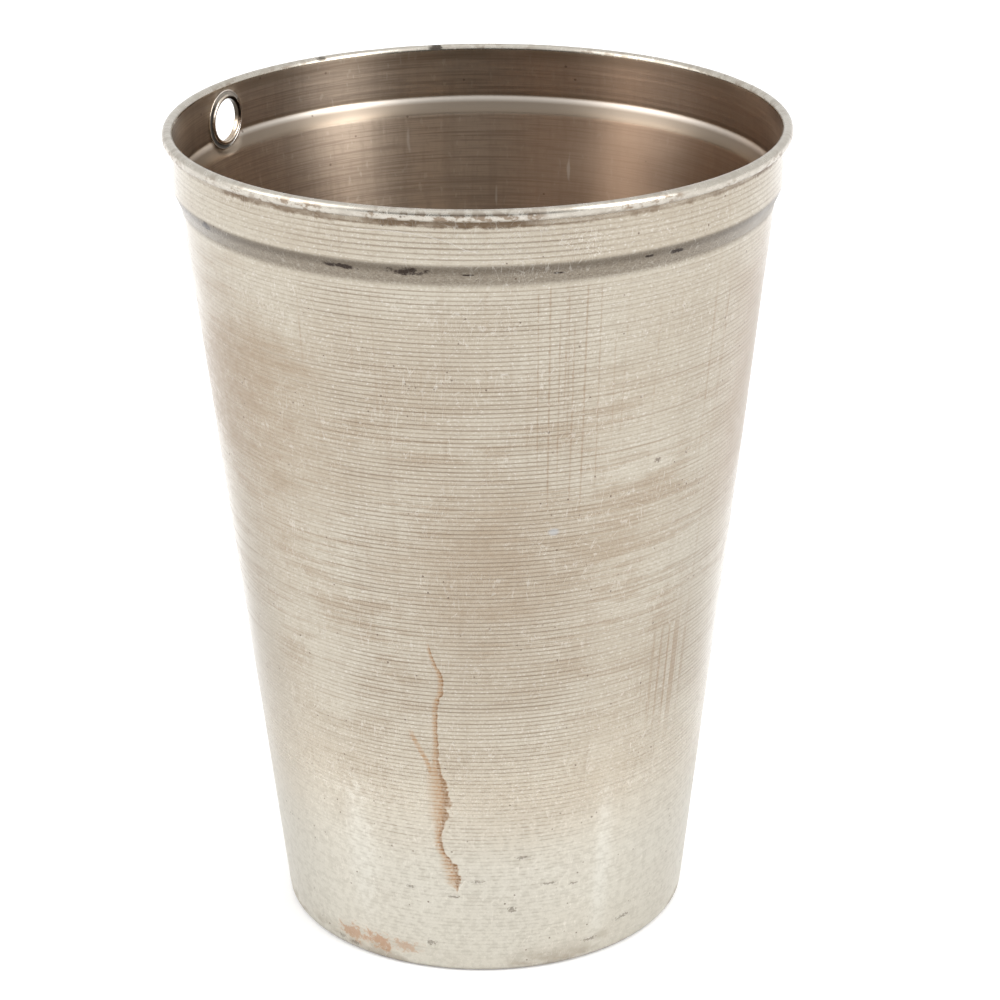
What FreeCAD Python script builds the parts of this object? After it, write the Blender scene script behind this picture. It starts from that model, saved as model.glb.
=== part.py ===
"""Tapered open-topped pail, drawn from one aluminium sheet, with an eyeleted hanging hole.

Frame: millimetres, +Z up. The origin is the centre of the base, on the plane of the foot ring.
The hanging hole faces +Y, the side that goes against the post or wall; -Y is the front.

Pieces: pail_shell (the drawn sheet with its wired rim rolled outwards), rim_wire (the ring
inside the roll), hanging_eyelet (barrel set in the hole) and eyelet_washer (ring under the
eyelet's inner roll).
"""

import FreeCAD, Part

import math
import os

import Sketcher
from FreeCAD import Placement, Rotation, Vector

doc = FreeCAD.newDocument("pail")

# ---------------------------------------------------------------- driving dimensions (mm)
DIMS = [
    ("sheet_thk", 0.9, "thickness of the drawn aluminium sheet"),
    ("base_rad", 77.52, "outer wall line extended down to the base plane"),
    ("base_corner", 2.6, "outside radius where the wall turns into the base"),
    ("foot_inner", 70.0, "radius where the foot ring starts"),
    ("panel_rad", 66.0, "radius of the raised centre panel of the base"),
    ("panel_rise", 2.0, "height of the underside of the centre panel above the foot ring"),
    ("panel_bend", 1.0, "tight side of the two bends round the centre panel"),
    ("wall_top_rad", 108.58, "outer radius of the tapered wall where the shoulder starts"),
    ("wall_top_z", 283.0, "height where the shoulder starts"),
    ("collar_rad", 111.3, "outer radius of the straight collar"),
    ("collar_z", 289.4, "height where the collar starts"),
    ("bend_low", 2.5, "outside radius of the bend under the shoulder"),
    ("bend_high", 3.0, "outside radius of the bend over the shoulder"),
    ("rim_z", 310.0, "height over the rim"),
    ("roll_rad", 1.95, "outside radius of the rim's roll"),
    ("roll_flat", 0.5, "straight stretch between the two half rounds of the roll"),
    ("roll_end", 115.0, "how far the roll turns under, degrees past its outermost point"),
    ("wire_rad", 1.0, "radius of the wire inside the roll"),
    ("hole_z", 296.1, "height of the hanging hole's axis"),
    ("bore_rad", 8.0, "clear radius of the hanging hole, through the eyelet"),
    ("barrel_thk", 0.4, "wall of the eyelet's barrel"),
    ("fit_gap", 0.05, "radial clearance of the barrel in the sheet and in the washer"),
    ("seat_y", 109.8, "distance of the washer's flat seat from the pail's axis"),
    ("seat_rad", 11.6, "radius of the flat seat"),
    ("boss_rad", 12.5, "radius of the pressed-out boss that carries the seat over the shoulder"),
    ("face_rad", 9.4, "radius of the flat that the outer flange sits on"),
    ("flange_rad", 9.2, "outer radius of the eyelet's outside flange"),
    ("flange_thk", 0.35, "thickness of the outside flange"),
    ("washer_rad", 11.4, "outer radius of the washer"),
    ("washer_thk", 0.4, "thickness of the washer"),
    ("curl_rad", 9.7, "outer radius of the eyelet's inside roll"),
    ("curl_rise", 0.85, "how far the inside roll stands above the washer"),
    ("seat_gap", 0.02, "gap left between faces that are pressed together"),
]
sheet = doc.addObject("Spreadsheet::Sheet", "dims")
sheet.Label = "dims"
V = {}
for row, (alias, value, note) in enumerate(DIMS, start=1):
    sheet.set("A%d" % row, alias)
    sheet.set("B%d" % row, repr(value))
    sheet.set("C%d" % row, note)
    sheet.setAlias("B%d" % row, alias)
    V[alias] = value
doc.recompute()


# ---------------------------------------------------------------- helpers
def origin_plane(body, role):
    return next(f for f in body.Origin.OriginFeatures if f.Role == role)


def new_sketch(body, role, name):
    sketch = body.newObject("Sketcher::SketchObject", name)
    sketch.AttachmentSupport = [(origin_plane(body, role), "")]
    sketch.MapMode = "FlatFace"
    return sketch


def line(sketch, a, b, construction=False):
    return sketch.addGeometry(
        Part.LineSegment(Vector(a[0], a[1], 0), Vector(b[0], b[1], 0)), construction
    )


def arc(sketch, centre, radius, start, end):
    """An arc from start to end, degrees, anticlockwise."""
    circle = Part.Circle(Vector(centre[0], centre[1], 0), Vector(0, 0, 1), radius)
    return sketch.addGeometry(
        Part.ArcOfCircle(circle, math.radians(start), math.radians(end)), False
    )


def join(sketch, g1, p1, g2, p2):
    sketch.addConstraint(Sketcher.Constraint("Coincident", g1, p1, g2, p2))


def dim(sketch, kind, args, value, formula):
    """A driving dimension bound to the sheet."""
    index = sketch.addConstraint(Sketcher.Constraint(kind, *args, value))
    sketch.setExpression("Constraints[%d]" % index, formula)
    return index


def at_x(sketch, geo, point, value, formula):
    return dim(sketch, "DistanceX", (-1, 1, geo, point), value, formula)


def at_y(sketch, geo, point, value, formula):
    return dim(sketch, "DistanceY", (-1, 1, geo, point), value, formula)


def rule(sketch, kind, *args):
    sketch.addConstraint(Sketcher.Constraint(kind, *args))


def revolve(body, sketch, name):
    feature = body.newObject("PartDesign::Revolution", name)
    feature.Profile = sketch
    feature.ReferenceAxis = (sketch, ["V_Axis"])
    feature.Angle = 360.0
    body.Tip = feature
    doc.recompute()
    return feature


def ring_edges(shape, radius, height, tol=0.05):
    """Names of the full circles round the local Z axis with this radius and height."""
    names = []
    for i, edge in enumerate(shape.Edges, start=1):
        curve = edge.Curve
        if not isinstance(curve, Part.Circle):
            continue
        if abs(abs(curve.Axis.z) - 1) > 1e-6 or math.hypot(curve.Center.x, curve.Center.y) > 1e-4:
            continue
        if abs(curve.Radius - radius) < tol and abs(curve.Center.z - height) < tol:
            names.append("Edge%d" % i)
    return names


def round_off(body, base, name, radius, height, formula):
    """Round the circular edge at (radius, height) of the body's last feature."""
    edges = ring_edges(base.Shape, radius, height)
    if not edges:
        raise RuntimeError("%s: no edge at r=%.3f z=%.3f" % (name, radius, height))
    feature = body.newObject("PartDesign::Fillet", name)
    feature.Base = (base, edges)
    feature.setExpression("Radius", formula)
    body.Tip = feature
    doc.recompute()
    return feature


def cylinder(name, radius, height, placement, height_value):
    """A cylinder whose radius and height come from the sheet."""
    solid = doc.addObject("Part::Cylinder", name)
    solid.setExpression("Radius", radius)
    if height is None:
        solid.Height = height_value
    else:
        solid.setExpression("Height", height)
    solid.Placement = placement
    return solid


def boolean(kind, name, **inputs):
    obj = doc.addObject("Part::" + kind, name)
    for key, value in inputs.items():
        setattr(obj, key, value)
    obj.Refine = True
    doc.recompute()
    return obj


ALONG_Y = Rotation(Vector(1, 0, 0), -90)  # turns a piece's own Z axis to +Y


# ---------------------------------------------------------------- pail_shell
# One section of the sheet, from the centre of the base to the tucked-in end of the rim's
# roll, turned about Z. Its outer line carries the dimensions, and every inner line runs
# parallel to it at the sheet's thickness.
pail_body = doc.addObject("PartDesign::Body", "pail_body")
sk = new_sketch(pail_body, "XZ_Plane", "sheet_section")
thk = V["sheet_thk"]
slope = math.atan2(V["panel_rise"], V["foot_inner"] - V["panel_rad"])
tan_a = (V["wall_top_rad"] - V["base_rad"]) / V["wall_top_z"]
tan_b = (V["collar_rad"] - V["wall_top_rad"]) / (V["collar_z"] - V["wall_top_z"])
a, b = math.atan(tan_a), math.atan(tan_b)
ro, ri = V["roll_rad"], V["roll_rad"] - thk
cx = V["collar_rad"] - thk + ro
z_up = V["rim_z"] - ro
z_dn = z_up - V["roll_flat"]
end = -V["roll_end"]
ex, ey = math.cos(math.radians(end)), math.sin(math.radians(end))
under = [
    (0, V["panel_rise"]),
    (V["panel_rad"], V["panel_rise"]),
    (V["foot_inner"], 0),
    (V["base_rad"], 0),
    (V["wall_top_rad"], V["wall_top_z"]),
    (V["collar_rad"], V["collar_z"]),
    (V["collar_rad"], z_up),
]
lift_low = thk * math.tan((a + b) / 2)
over = [
    (0, V["panel_rise"] + thk),
    (V["panel_rad"] + thk * math.tan(slope / 2), V["panel_rise"] + thk),
    (V["foot_inner"] + thk * math.tan(slope / 2), thk),
    (V["base_rad"] + thk * tan_a - thk / math.cos(a), thk),
    (
        V["wall_top_rad"] + lift_low * tan_a - thk / math.cos(a),
        V["wall_top_z"] + lift_low,
    ),
    (V["collar_rad"] - thk, V["collar_z"] + thk * math.tan(b / 2)),
    (V["collar_rad"] - thk, z_up),
]
# Bend radii, from the centre of the base outwards, on the outside and the inside of the
# sheet. The two sides of a bend share its centre.
BENDS_OUT = [
    (V["panel_bend"], "dims.panel_bend"),
    (V["panel_bend"] + thk, "dims.panel_bend + dims.sheet_thk"),
    (V["base_corner"], "dims.base_corner"),
    (V["bend_low"], "dims.bend_low"),
    (V["bend_high"], "dims.bend_high"),
]
BENDS_IN = [
    (V["panel_bend"] + thk, "dims.panel_bend + dims.sheet_thk"),
    (V["panel_bend"], "dims.panel_bend"),
    (V["base_corner"] - thk, "dims.base_corner - dims.sheet_thk"),
    (V["bend_low"] + thk, "dims.bend_low + dims.sheet_thk"),
    (V["bend_high"] - thk, "dims.bend_high - dims.sheet_thk"),
]


def bent_line(sketch, points, bends):
    """Straight lines through the points with a tangent arc at each inner point."""
    ends = [[Vector(*p, 0), Vector(*q, 0)] for p, q in zip(points, points[1:])]
    turns = []
    for i, (radius, _) in enumerate(bends):
        into = (ends[i][1] - ends[i][0]).normalize()
        out = (ends[i + 1][1] - ends[i + 1][0]).normalize()
        left = into.x * out.y - into.y * out.x > 0
        back = radius * math.tan(into.getAngle(out) / 2)
        corner = Vector(*points[i + 1], 0)
        start, stop = corner - into * back, corner + out * back
        side = Vector(-into.y, into.x, 0) * (1 if left else -1)
        turns.append((start, stop, start + side * radius, left))
    for i, (start, stop, _, _) in enumerate(turns):
        ends[i][1], ends[i + 1][0] = start, stop
    lines = [line(sketch, p, q) for p, q in ends]
    arcs = []
    for i, (start, stop, centre, left) in enumerate(turns):
        first, last_ = (start, stop) if left else (stop, start)
        angle = [math.degrees(math.atan2(v.y - centre.y, v.x - centre.x)) for v in (first, last_)]
        bend = arc(sketch, centre, bends[i][0], *angle)
        rule(sketch, "Tangent", lines[i], 2, bend, 1 if left else 2)
        rule(sketch, "Tangent", lines[i + 1], 1, bend, 2 if left else 1)
        dim(sketch, "Radius", (bend,), bends[i][0], bends[i][1])
        arcs.append(bend)
    return lines, arcs


def corner_at(sketch, one, two, point):
    """A construction point where two lines would meet without their bend."""
    geo = sketch.addGeometry(Part.Point(Vector(*point, 0)), True)
    rule(sketch, "PointOnObject", geo, 1, one)
    rule(sketch, "PointOnObject", geo, 1, two)
    return geo


o, o_bends = bent_line(sk, under, BENDS_OUT)
n, n_bends = bent_line(sk, over, BENDS_IN)
centre_cut = line(sk, under[0], over[0])
join(sk, centre_cut, 1, o[0], 1)
join(sk, centre_cut, 2, n[0], 1)
# The outer line.
rule(sk, "PointOnObject", o[0], 1, -2)
rule(sk, "Horizontal", o[0])
rule(sk, "Horizontal", o[2])
rule(sk, "PointOnObject", o[2], 1, -1)
rule(sk, "Vertical", o[5])
at_y(sk, o[0], 1, V["panel_rise"], "dims.panel_rise")
corners = [corner_at(sk, o[i], o[i + 1], under[i + 1]) for i in range(5)]
at_x(sk, corners[0], 1, V["panel_rad"], "dims.panel_rad")
at_x(sk, corners[1], 1, V["foot_inner"], "dims.foot_inner")
at_x(sk, corners[2], 1, V["base_rad"], "dims.base_rad")
at_x(sk, corners[3], 1, V["wall_top_rad"], "dims.wall_top_rad")
at_y(sk, corners[3], 1, V["wall_top_z"], "dims.wall_top_z")
at_x(sk, corners[4], 1, V["collar_rad"], "dims.collar_rad")
at_y(sk, corners[4], 1, V["collar_z"], "dims.collar_z")
# The inner line shares the bends' centres.
rule(sk, "PointOnObject", n[0], 1, -2)
rule(sk, "Horizontal", n[0])
rule(sk, "Vertical", n[5])
for one, two in zip(o_bends, n_bends):
    join(sk, one, 3, two, 3)
# The rim's roll: straight up the inside, over, down and tucked in under itself.
in_top = arc(sk, (cx, z_up), ri, 0, 180)
in_side = line(sk, (cx + ri, z_up), (cx + ri, z_dn))
in_low = arc(sk, (cx, z_dn), ri, end, 0)
cap = line(sk, (cx + ri * ex, z_dn + ri * ey), (cx + ro * ex, z_dn + ro * ey))
out_low = arc(sk, (cx, z_dn), ro, end, 0)
out_side = line(sk, (cx + ro, z_dn), (cx + ro, z_up))
out_top = arc(sk, (cx, z_up), ro, 0, 180)
rule(sk, "Tangent", o[5], 2, in_top, 2)
rule(sk, "Tangent", in_top, 1, in_side, 1)
rule(sk, "Tangent", in_side, 2, in_low, 2)
join(sk, in_low, 1, cap, 1)
join(sk, cap, 2, out_low, 1)
rule(sk, "Tangent", out_low, 2, out_side, 1)
rule(sk, "Tangent", out_side, 2, out_top, 1)
rule(sk, "Tangent", out_top, 2, n[5], 2)
join(sk, in_top, 3, out_top, 3)
join(sk, in_low, 3, out_low, 3)
rule(sk, "PointOnObject", in_low, 3, cap)
dim(sk, "Radius", (out_top,), ro, "dims.roll_rad")
at_y(sk, out_top, 3, z_up, "dims.rim_z - dims.roll_rad")
dim(sk, "Distance", (out_side,), V["roll_flat"], "dims.roll_flat")
dim(sk, "Angle", (out_low,), math.radians(V["roll_end"]), "dims.roll_end * 1 deg")
revolve(pail_body, sk, "sheet_turned")

# Boss: round the hanging hole the shoulder is pressed out to the collar's radius. The
# filling runs from the middle of the sheet outwards, and the disc gives its round outline.
fill = doc.addObject("PartDesign::Body", "shoulder_fill")
sk = new_sketch(fill, "XZ_Plane", "fill_section")
half = thk / 2
pts = [
    (V["collar_rad"] - half, V["collar_z"]),
    (V["wall_top_rad"] - half, V["wall_top_z"]),
    (V["collar_rad"] - 0.05, V["wall_top_z"]),
    (V["collar_rad"] - 0.05, V["collar_z"] + 2),
    (V["collar_rad"] - half, V["collar_z"] + 2),
]
g = [line(sk, pts[i], pts[(i + 1) % 5]) for i in range(5)]
for i in range(5):
    join(sk, g[i], 2, g[(i + 1) % 5], 1)
rule(sk, "Horizontal", g[1])
rule(sk, "Vertical", g[2])
rule(sk, "Horizontal", g[3])
rule(sk, "Vertical", g[4])
at_x(sk, g[0], 1, pts[0][0], "dims.collar_rad - dims.sheet_thk / 2")
at_y(sk, g[0], 1, pts[0][1], "dims.collar_z")
at_x(sk, g[1], 1, pts[1][0], "dims.wall_top_rad - dims.sheet_thk / 2")
at_y(sk, g[1], 1, pts[1][1], "dims.wall_top_z")
at_x(sk, g[2], 1, pts[2][0], "dims.collar_rad - 0.05")
at_y(sk, g[3], 1, pts[3][1], "dims.collar_z + 2")
revolve(fill, sk, "fill_turned")
axis_at = Placement(Vector(0, 90, V["hole_z"]), ALONG_Y)
boss_disc = cylinder("boss_disc", "dims.boss_rad", None, axis_at, 30.0)
boss_disc.setExpression("Placement.Base.z", "dims.hole_z")
boss = boolean("Common", "boss", Base=fill, Tool=boss_disc)

# Seat: a flat disc behind the washer. What stands in front of it is then cleared away, so
# the washer lies flat on the disc and clear of the shoulder.
seat = cylinder("seat", "dims.seat_rad - 0.1", "dims.sheet_thk - 0.1 + 0.4", axis_at, None)
seat.setExpression("Placement.Base.y", "dims.seat_y - 0.4")
seat.setExpression("Placement.Base.z", "dims.hole_z")
joined = boolean("MultiFuse", "joined", Shapes=[pail_body, boss, seat])
seat_clear = cylinder("seat_clear", "dims.seat_rad", "dims.seat_y - 90", axis_at, None)
seat_clear.setExpression("Placement.Base.z", "dims.hole_z")
cleared = boolean("Cut", "cleared", Base=joined, Tool=seat_clear)

# Flat for the outside flange, then the hole that the barrel goes through.
flange_flat = cylinder("flange_flat", "dims.face_rad", None, axis_at, 3.0)
flange_flat.setExpression("Placement.Base.y", "dims.seat_y + dims.sheet_thk")
flange_flat.setExpression("Placement.Base.z", "dims.hole_z")
faced = boolean("Cut", "faced", Base=cleared, Tool=flange_flat)
hole = cylinder("hole", "dims.bore_rad + dims.barrel_thk + dims.fit_gap", None, axis_at, 30.0)
hole.setExpression("Placement.Base.z", "dims.hole_z")
pail_shell = boolean("Cut", "pail_shell", Base=faced, Tool=hole)
pail_shell.Label = "pail_shell"

# ---------------------------------------------------------------- rim_wire
rim_wire = doc.addObject("Part::Torus", "rim_wire")
rim_wire.Label = "rim_wire"
rim_wire.setExpression("Radius1", "dims.collar_rad - dims.sheet_thk + dims.roll_rad")
rim_wire.setExpression("Radius2", "dims.wire_rad")
rim_wire.Placement = Placement(Vector(0, 0, z_up - V["roll_flat"] / 2), Rotation())
rim_wire.setExpression("Placement.Base.z", "dims.rim_z - dims.roll_rad - dims.roll_flat / 2")

# ---------------------------------------------------------------- hanging_eyelet
# Turned about its own Z axis, which points outwards through the hole. Heights in the
# profile are distances from the pail's axis.
hanging_eyelet = doc.addObject("PartDesign::Body", "hanging_eyelet")
hanging_eyelet.Label = "hanging_eyelet"
sk = new_sketch(hanging_eyelet, "XZ_Plane", "eyelet_profile")
r0 = V["bore_rad"]
r1 = r0 + V["barrel_thk"]
y_washer = V["seat_y"] - V["washer_thk"] - V["seat_gap"]
y_roll = y_washer - V["seat_gap"]
y_crest = y_roll - V["curl_rise"]
y_face = V["seat_y"] + thk + V["seat_gap"]
y_end = y_face + V["flange_thk"]
pts = [
    (r0, y_crest),
    (V["curl_rad"], y_crest),
    (V["curl_rad"], y_roll),
    (r1, y_roll),
    (r1, y_face),
    (V["flange_rad"], y_face),
    (V["flange_rad"], y_end),
    (r0, y_end),
]
g = [line(sk, pts[i], pts[(i + 1) % 8]) for i in range(8)]
for i in range(8):
    join(sk, g[i], 2, g[(i + 1) % 8], 1)
    rule(sk, "Horizontal" if i % 2 == 0 else "Vertical", g[i])
F_ROLL = "dims.seat_y - dims.washer_thk - 2 * dims.seat_gap"
F_FACE = "dims.seat_y + dims.sheet_thk + dims.seat_gap"
at_x(sk, g[0], 1, r0, "dims.bore_rad")
at_y(sk, g[0], 1, y_crest, F_ROLL + " - dims.curl_rise")
at_x(sk, g[1], 1, V["curl_rad"], "dims.curl_rad")
at_y(sk, g[2], 2, y_roll, F_ROLL)
at_x(sk, g[3], 2, r1, "dims.bore_rad + dims.barrel_thk")
at_y(sk, g[4], 2, y_face, F_FACE)
at_x(sk, g[5], 2, V["flange_rad"], "dims.flange_rad")
at_y(sk, g[6], 2, y_end, F_FACE + " + dims.flange_thk")
last = revolve(hanging_eyelet, sk, "eyelet_turned")
last = round_off(
    hanging_eyelet, last, "roll_outside", V["curl_rad"], y_crest, "0.92 * dims.curl_rise"
)
last = round_off(hanging_eyelet, last, "roll_inside", r0, y_crest, "0.7 * dims.curl_rise")
last = round_off(hanging_eyelet, last, "flange_inside", r0, y_end, "0.8 * dims.flange_thk")
last = round_off(
    hanging_eyelet, last, "flange_outside", V["flange_rad"], y_end, "0.6 * dims.flange_thk"
)
hanging_eyelet.Placement = Placement(Vector(0, 0, V["hole_z"]), ALONG_Y)
hanging_eyelet.setExpression("Placement.Base.z", "dims.hole_z")

# ---------------------------------------------------------------- eyelet_washer
eyelet_washer = doc.addObject("PartDesign::Body", "eyelet_washer")
eyelet_washer.Label = "eyelet_washer"
sk = new_sketch(eyelet_washer, "XY_Plane", "washer_profile")
ring_out = sk.addGeometry(Part.Circle(Vector(0, 0, 0), Vector(0, 0, 1), V["washer_rad"]), False)
ring_in = sk.addGeometry(
    Part.Circle(Vector(0, 0, 0), Vector(0, 0, 1), r1 + V["fit_gap"]), False
)
join(sk, ring_out, 3, -1, 1)
join(sk, ring_in, 3, -1, 1)
dim(sk, "Radius", (ring_out,), V["washer_rad"], "dims.washer_rad")
dim(
    sk,
    "Radius",
    (ring_in,),
    r1 + V["fit_gap"],
    "dims.bore_rad + dims.barrel_thk + dims.fit_gap",
)
pad = eyelet_washer.newObject("PartDesign::Pad", "washer_blank")
pad.Profile = sk
pad.setExpression("Length", "dims.washer_thk")
eyelet_washer.Tip = pad
doc.recompute()
# The blanked edge that faces into the pail is rounded over.
last = round_off(
    eyelet_washer, pad, "washer_edge", V["washer_rad"], 0, "0.5 * dims.washer_thk"
)
eyelet_washer.Placement = Placement(Vector(0, y_washer, V["hole_z"]), ALONG_Y)
eyelet_washer.setExpression("Placement.Base.y", "dims.seat_y - dims.washer_thk - dims.seat_gap")
eyelet_washer.setExpression("Placement.Base.z", "dims.hole_z")

doc.recompute()

# ---------------------------------------------------------------- checks, then the files
NODES = [pail_shell, rim_wire, hanging_eyelet, eyelet_washer]
faults = []
for obj in doc.Objects:
    if any(word in obj.State for word in ("Invalid", "Error")):
        faults.append("%s: %s" % (obj.Name, obj.State))
    if obj.isDerivedFrom("Sketcher::SketchObject") and obj.solve() != 0:
        faults.append("%s: sketch not solved" % obj.Name)
for node in NODES:
    shape = node.Shape
    if shape.isNull() or not shape.isValid() or len(shape.Solids) != 1:
        faults.append("%s: bad shape" % node.Label)
if faults:
    raise RuntimeError("; ".join(faults))

# The hanging hole has to go right through every piece that it passes.
probe = Part.makeCylinder(
    V["bore_rad"] - 0.05, 12, Vector(0, 104, V["hole_z"]), Vector(0, 1, 0)
)
for node in NODES:
    if node.Shape.common(probe).Volume > 1e-6:
        raise RuntimeError("%s blocks the hanging hole" % node.Label)
for i, one in enumerate(NODES):
    for two in NODES[i + 1 :]:
        shared = one.Shape.common(two.Shape).Volume
        if shared > 1e-6:
            raise RuntimeError("%s and %s overlap by %g mm3" % (one.Label, two.Label, shared))

os.makedirs("parts", exist_ok=True)
for node in NODES:
    box = node.Shape.BoundBox
    print(
        "%-15s volume %10.1f mm3  faces %3d  box %.2f %.2f %.2f / %.2f %.2f %.2f"
        % (
            node.Label,
            node.Shape.Volume,
            len(node.Shape.Faces),
            box.XMin,
            box.YMin,
            box.ZMin,
            box.XMax,
            box.YMax,
            box.ZMax,
        )
    )
    node.Shape.exportStep("parts/%s.step" % node.Label)
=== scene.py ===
"""Tapered aluminium pail with a wired rim and an eyeleted hanging hole.

The pail is one closed mesh: the drawn sheet's outer face, the rolled rim and the inner face,
with the spinning grooves cut into the wall. Lengths below are in mm until the mesh is made.
"""

import math

import bpy
import numpy as np
from mathutils import Matrix, Vector


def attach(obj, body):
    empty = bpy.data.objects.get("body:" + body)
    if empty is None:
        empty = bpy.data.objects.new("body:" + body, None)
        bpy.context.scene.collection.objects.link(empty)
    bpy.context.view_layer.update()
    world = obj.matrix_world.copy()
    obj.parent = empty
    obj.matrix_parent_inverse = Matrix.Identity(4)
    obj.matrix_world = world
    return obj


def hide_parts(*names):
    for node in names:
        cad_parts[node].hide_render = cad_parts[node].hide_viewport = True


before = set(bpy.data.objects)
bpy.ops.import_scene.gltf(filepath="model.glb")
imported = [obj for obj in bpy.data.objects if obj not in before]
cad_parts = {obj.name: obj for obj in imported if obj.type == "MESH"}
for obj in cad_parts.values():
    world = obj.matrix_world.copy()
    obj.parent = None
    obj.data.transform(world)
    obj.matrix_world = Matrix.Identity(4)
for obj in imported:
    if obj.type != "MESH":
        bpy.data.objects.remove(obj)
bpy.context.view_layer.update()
scene = bpy.context.scene
MM = 0.001
PHOTO_TURN = math.radians(-60.8)  # turns the camera's frame to the row frame
ALPHA0 = 150.8  # alpha = row angle + ALPHA0, degrees, 0 on the side that faces the camera
HOLE_Z = 296.1
rng = np.random.default_rng(2607)


# ------------------------------------------------------------------ profile of the sheet
THK = 0.9
TAN_A = (108.58 - 77.52) / 283.0
TAN_B = (111.3 - 108.58) / 6.4
A, B = math.atan(TAN_A), math.atan(TAN_B)
CX, RO, RI = 112.35, 1.95, 1.05
Z_UP, Z_DN = 308.05, 307.55
LIFT = THK * math.tan((A + B) / 2)
UNDER = [(0, 2), (66, 2), (70, 0), (77.52, 0), (108.58, 283.0), (111.3, 289.4), (111.3, Z_UP)]
SL = math.tan(math.atan2(2, 4) / 2)
OVER = [
    (0, 2.9),
    (66 + THK * SL, 2.9),
    (70 + THK * SL, 0.9),
    (77.52 + THK * TAN_A - THK / math.cos(A), 0.9),
    (108.58 + LIFT * TAN_A - THK / math.cos(A), 283.0 + LIFT),
    (110.4, 289.4 + THK * math.tan(B / 2)),
    (110.4, Z_UP),
]
BENDS_OUT = [1.0, 1.9, 2.6, 2.5, 3.0]
BENDS_IN = [1.9, 1.0, 1.7, 3.4, 2.1]


def bent(points, bends, steps=6):
    """The line through the points with its corners rounded, as a dense list of points."""
    pts = [np.array(p, float) for p in points]
    out = [pts[0]]
    for i, r in enumerate(bends):
        p = pts[i + 1]
        u = (p - pts[i]) / np.linalg.norm(p - pts[i])
        w = (pts[i + 2] - p) / np.linalg.norm(pts[i + 2] - p)
        turn = math.acos(np.clip(u @ w, -1, 1))
        left = u[0] * w[1] - u[1] * w[0] > 0
        s = p - u * r * math.tan(turn / 2)
        n = np.array([-u[1], u[0]]) * (1 if left else -1)
        c = s + n * r
        for k in range(steps + 1):
            a = turn * k / steps * (1 if left else -1)
            d = s - c
            out.append(c + np.array([d[0] * math.cos(a) - d[1] * math.sin(a), d[0] * math.sin(a) + d[1] * math.cos(a)]))
    out.append(pts[-1])
    return np.array(out)


LINE_OUT = bent(UNDER, BENDS_OUT)
LINE_IN = bent(OVER, BENDS_IN)


def rising(line, floor_z):
    """Radius as a function of height on the part of the line above floor_z."""
    keep = [line[-1]]
    for p in line[::-1][1:]:
        if p[1] < floor_z or p[1] > keep[-1][1] - 1e-6:
            break
        keep.append(p)
    k = np.array(keep[::-1])
    return k[:, 1], k[:, 0]


OUT_Z, OUT_R = rising(LINE_OUT, 2.2)
IN_Z, IN_R = rising(LINE_IN, 2.4)


def smooth(x, lo, hi):
    t = np.clip((np.asarray(x, float) - lo) / (hi - lo), 0, 1)
    return t * t * (3 - 2 * t)


# ------------------------------------------------------------------ gentle unevenness
WAVES = []
for n_round, n_up, amp in [
    (2, 0.004, 0.10), (3, 0.007, 0.09), (5, 0.010, 0.06), (7, 0.013, 0.045), (9, 0.017, 0.035),
    (11, 0.022, 0.026), (13, 0.026, 0.020), (17, 0.031, 0.013), (21, 0.040, 0.008), (26, 0.05, 0.005),
]:
    for _ in range(2):
        WAVES.append((n_round, n_up * rng.uniform(0.6, 1.4), amp * rng.uniform(0.5, 1.1), rng.uniform(0, 6.283), rng.uniform(-1, 1)))


def dent(theta, z):
    """Radial shift of both faces of the sheet."""
    v = 0.0
    for nr, nz, amp, ph, tw in WAVES:
        v = v + amp * np.sin(nr * theta + 6.283 * nz * z * (1 if tw > 0 else -1) + ph)
    # a shallow dent low on the front, where the pail was knocked
    al = np.degrees(theta) + ALPHA0
    al = (al + 180) % 360 - 180
    v = v * 0.42
    v = v - 0.55 * np.exp(-(((al - 33.6) * 1.4) / 9.0) ** 2 - ((z - 9.0) / 7.0) ** 2)
    v = v - 0.25 * np.exp(-(((al + 38) * 1.7) / 15.0) ** 2 - ((z - 120.0) / 26.0) ** 2)
    return v * smooth(z, 2.0, 14.0) * (1 - smooth(z, 286.0, 306.0))


RIPPLES = [(rng.integers(3, 14), rng.uniform(0, 6.283), rng.uniform(0.02, 0.12), rng.uniform(0, 6.283)) for _ in range(9)]


def ripple(theta, z):
    """0 to about 1: how deep the grooves are here."""
    v = 0.0
    for k, p, w, q in RIPPLES:
        v = v + np.sin(k * theta + p) * np.sin(w * z + q)
    return np.clip(0.85 + 0.12 * v, 0.55, 1.2)


def row_depth(z, pitch, z0, seed):
    """Each groove has its own depth."""
    n = np.floor((z - z0) / pitch + 0.5)
    h = np.sin(n * 12.9898 + seed) * 43758.5453
    return 0.62 + 0.6 * (h - np.floor(h))


PITCH_WALL, PHASE_WALL = 1.62, 160.0
PITCH_COLLAR, PHASE_COLLAR = 1.90, 290.2


# the grooves are worn nearly smooth on some sides: (alpha, share of the full depth)
WEAR = [(-180, 0.7), (-95, 0.6), (-66, 0.42), (-40, 0.45), (-24, 1.15), (14, 1.2), (27, 0.55), (50, 0.5), (62, 0.85), (100, 0.7), (180, 0.7)]


def wear(theta):
    al = (np.degrees(theta) + ALPHA0 + 180) % 360 - 180
    return np.interp(al, [a for a, _ in WEAR], [k for _, k in WEAR])


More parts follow.
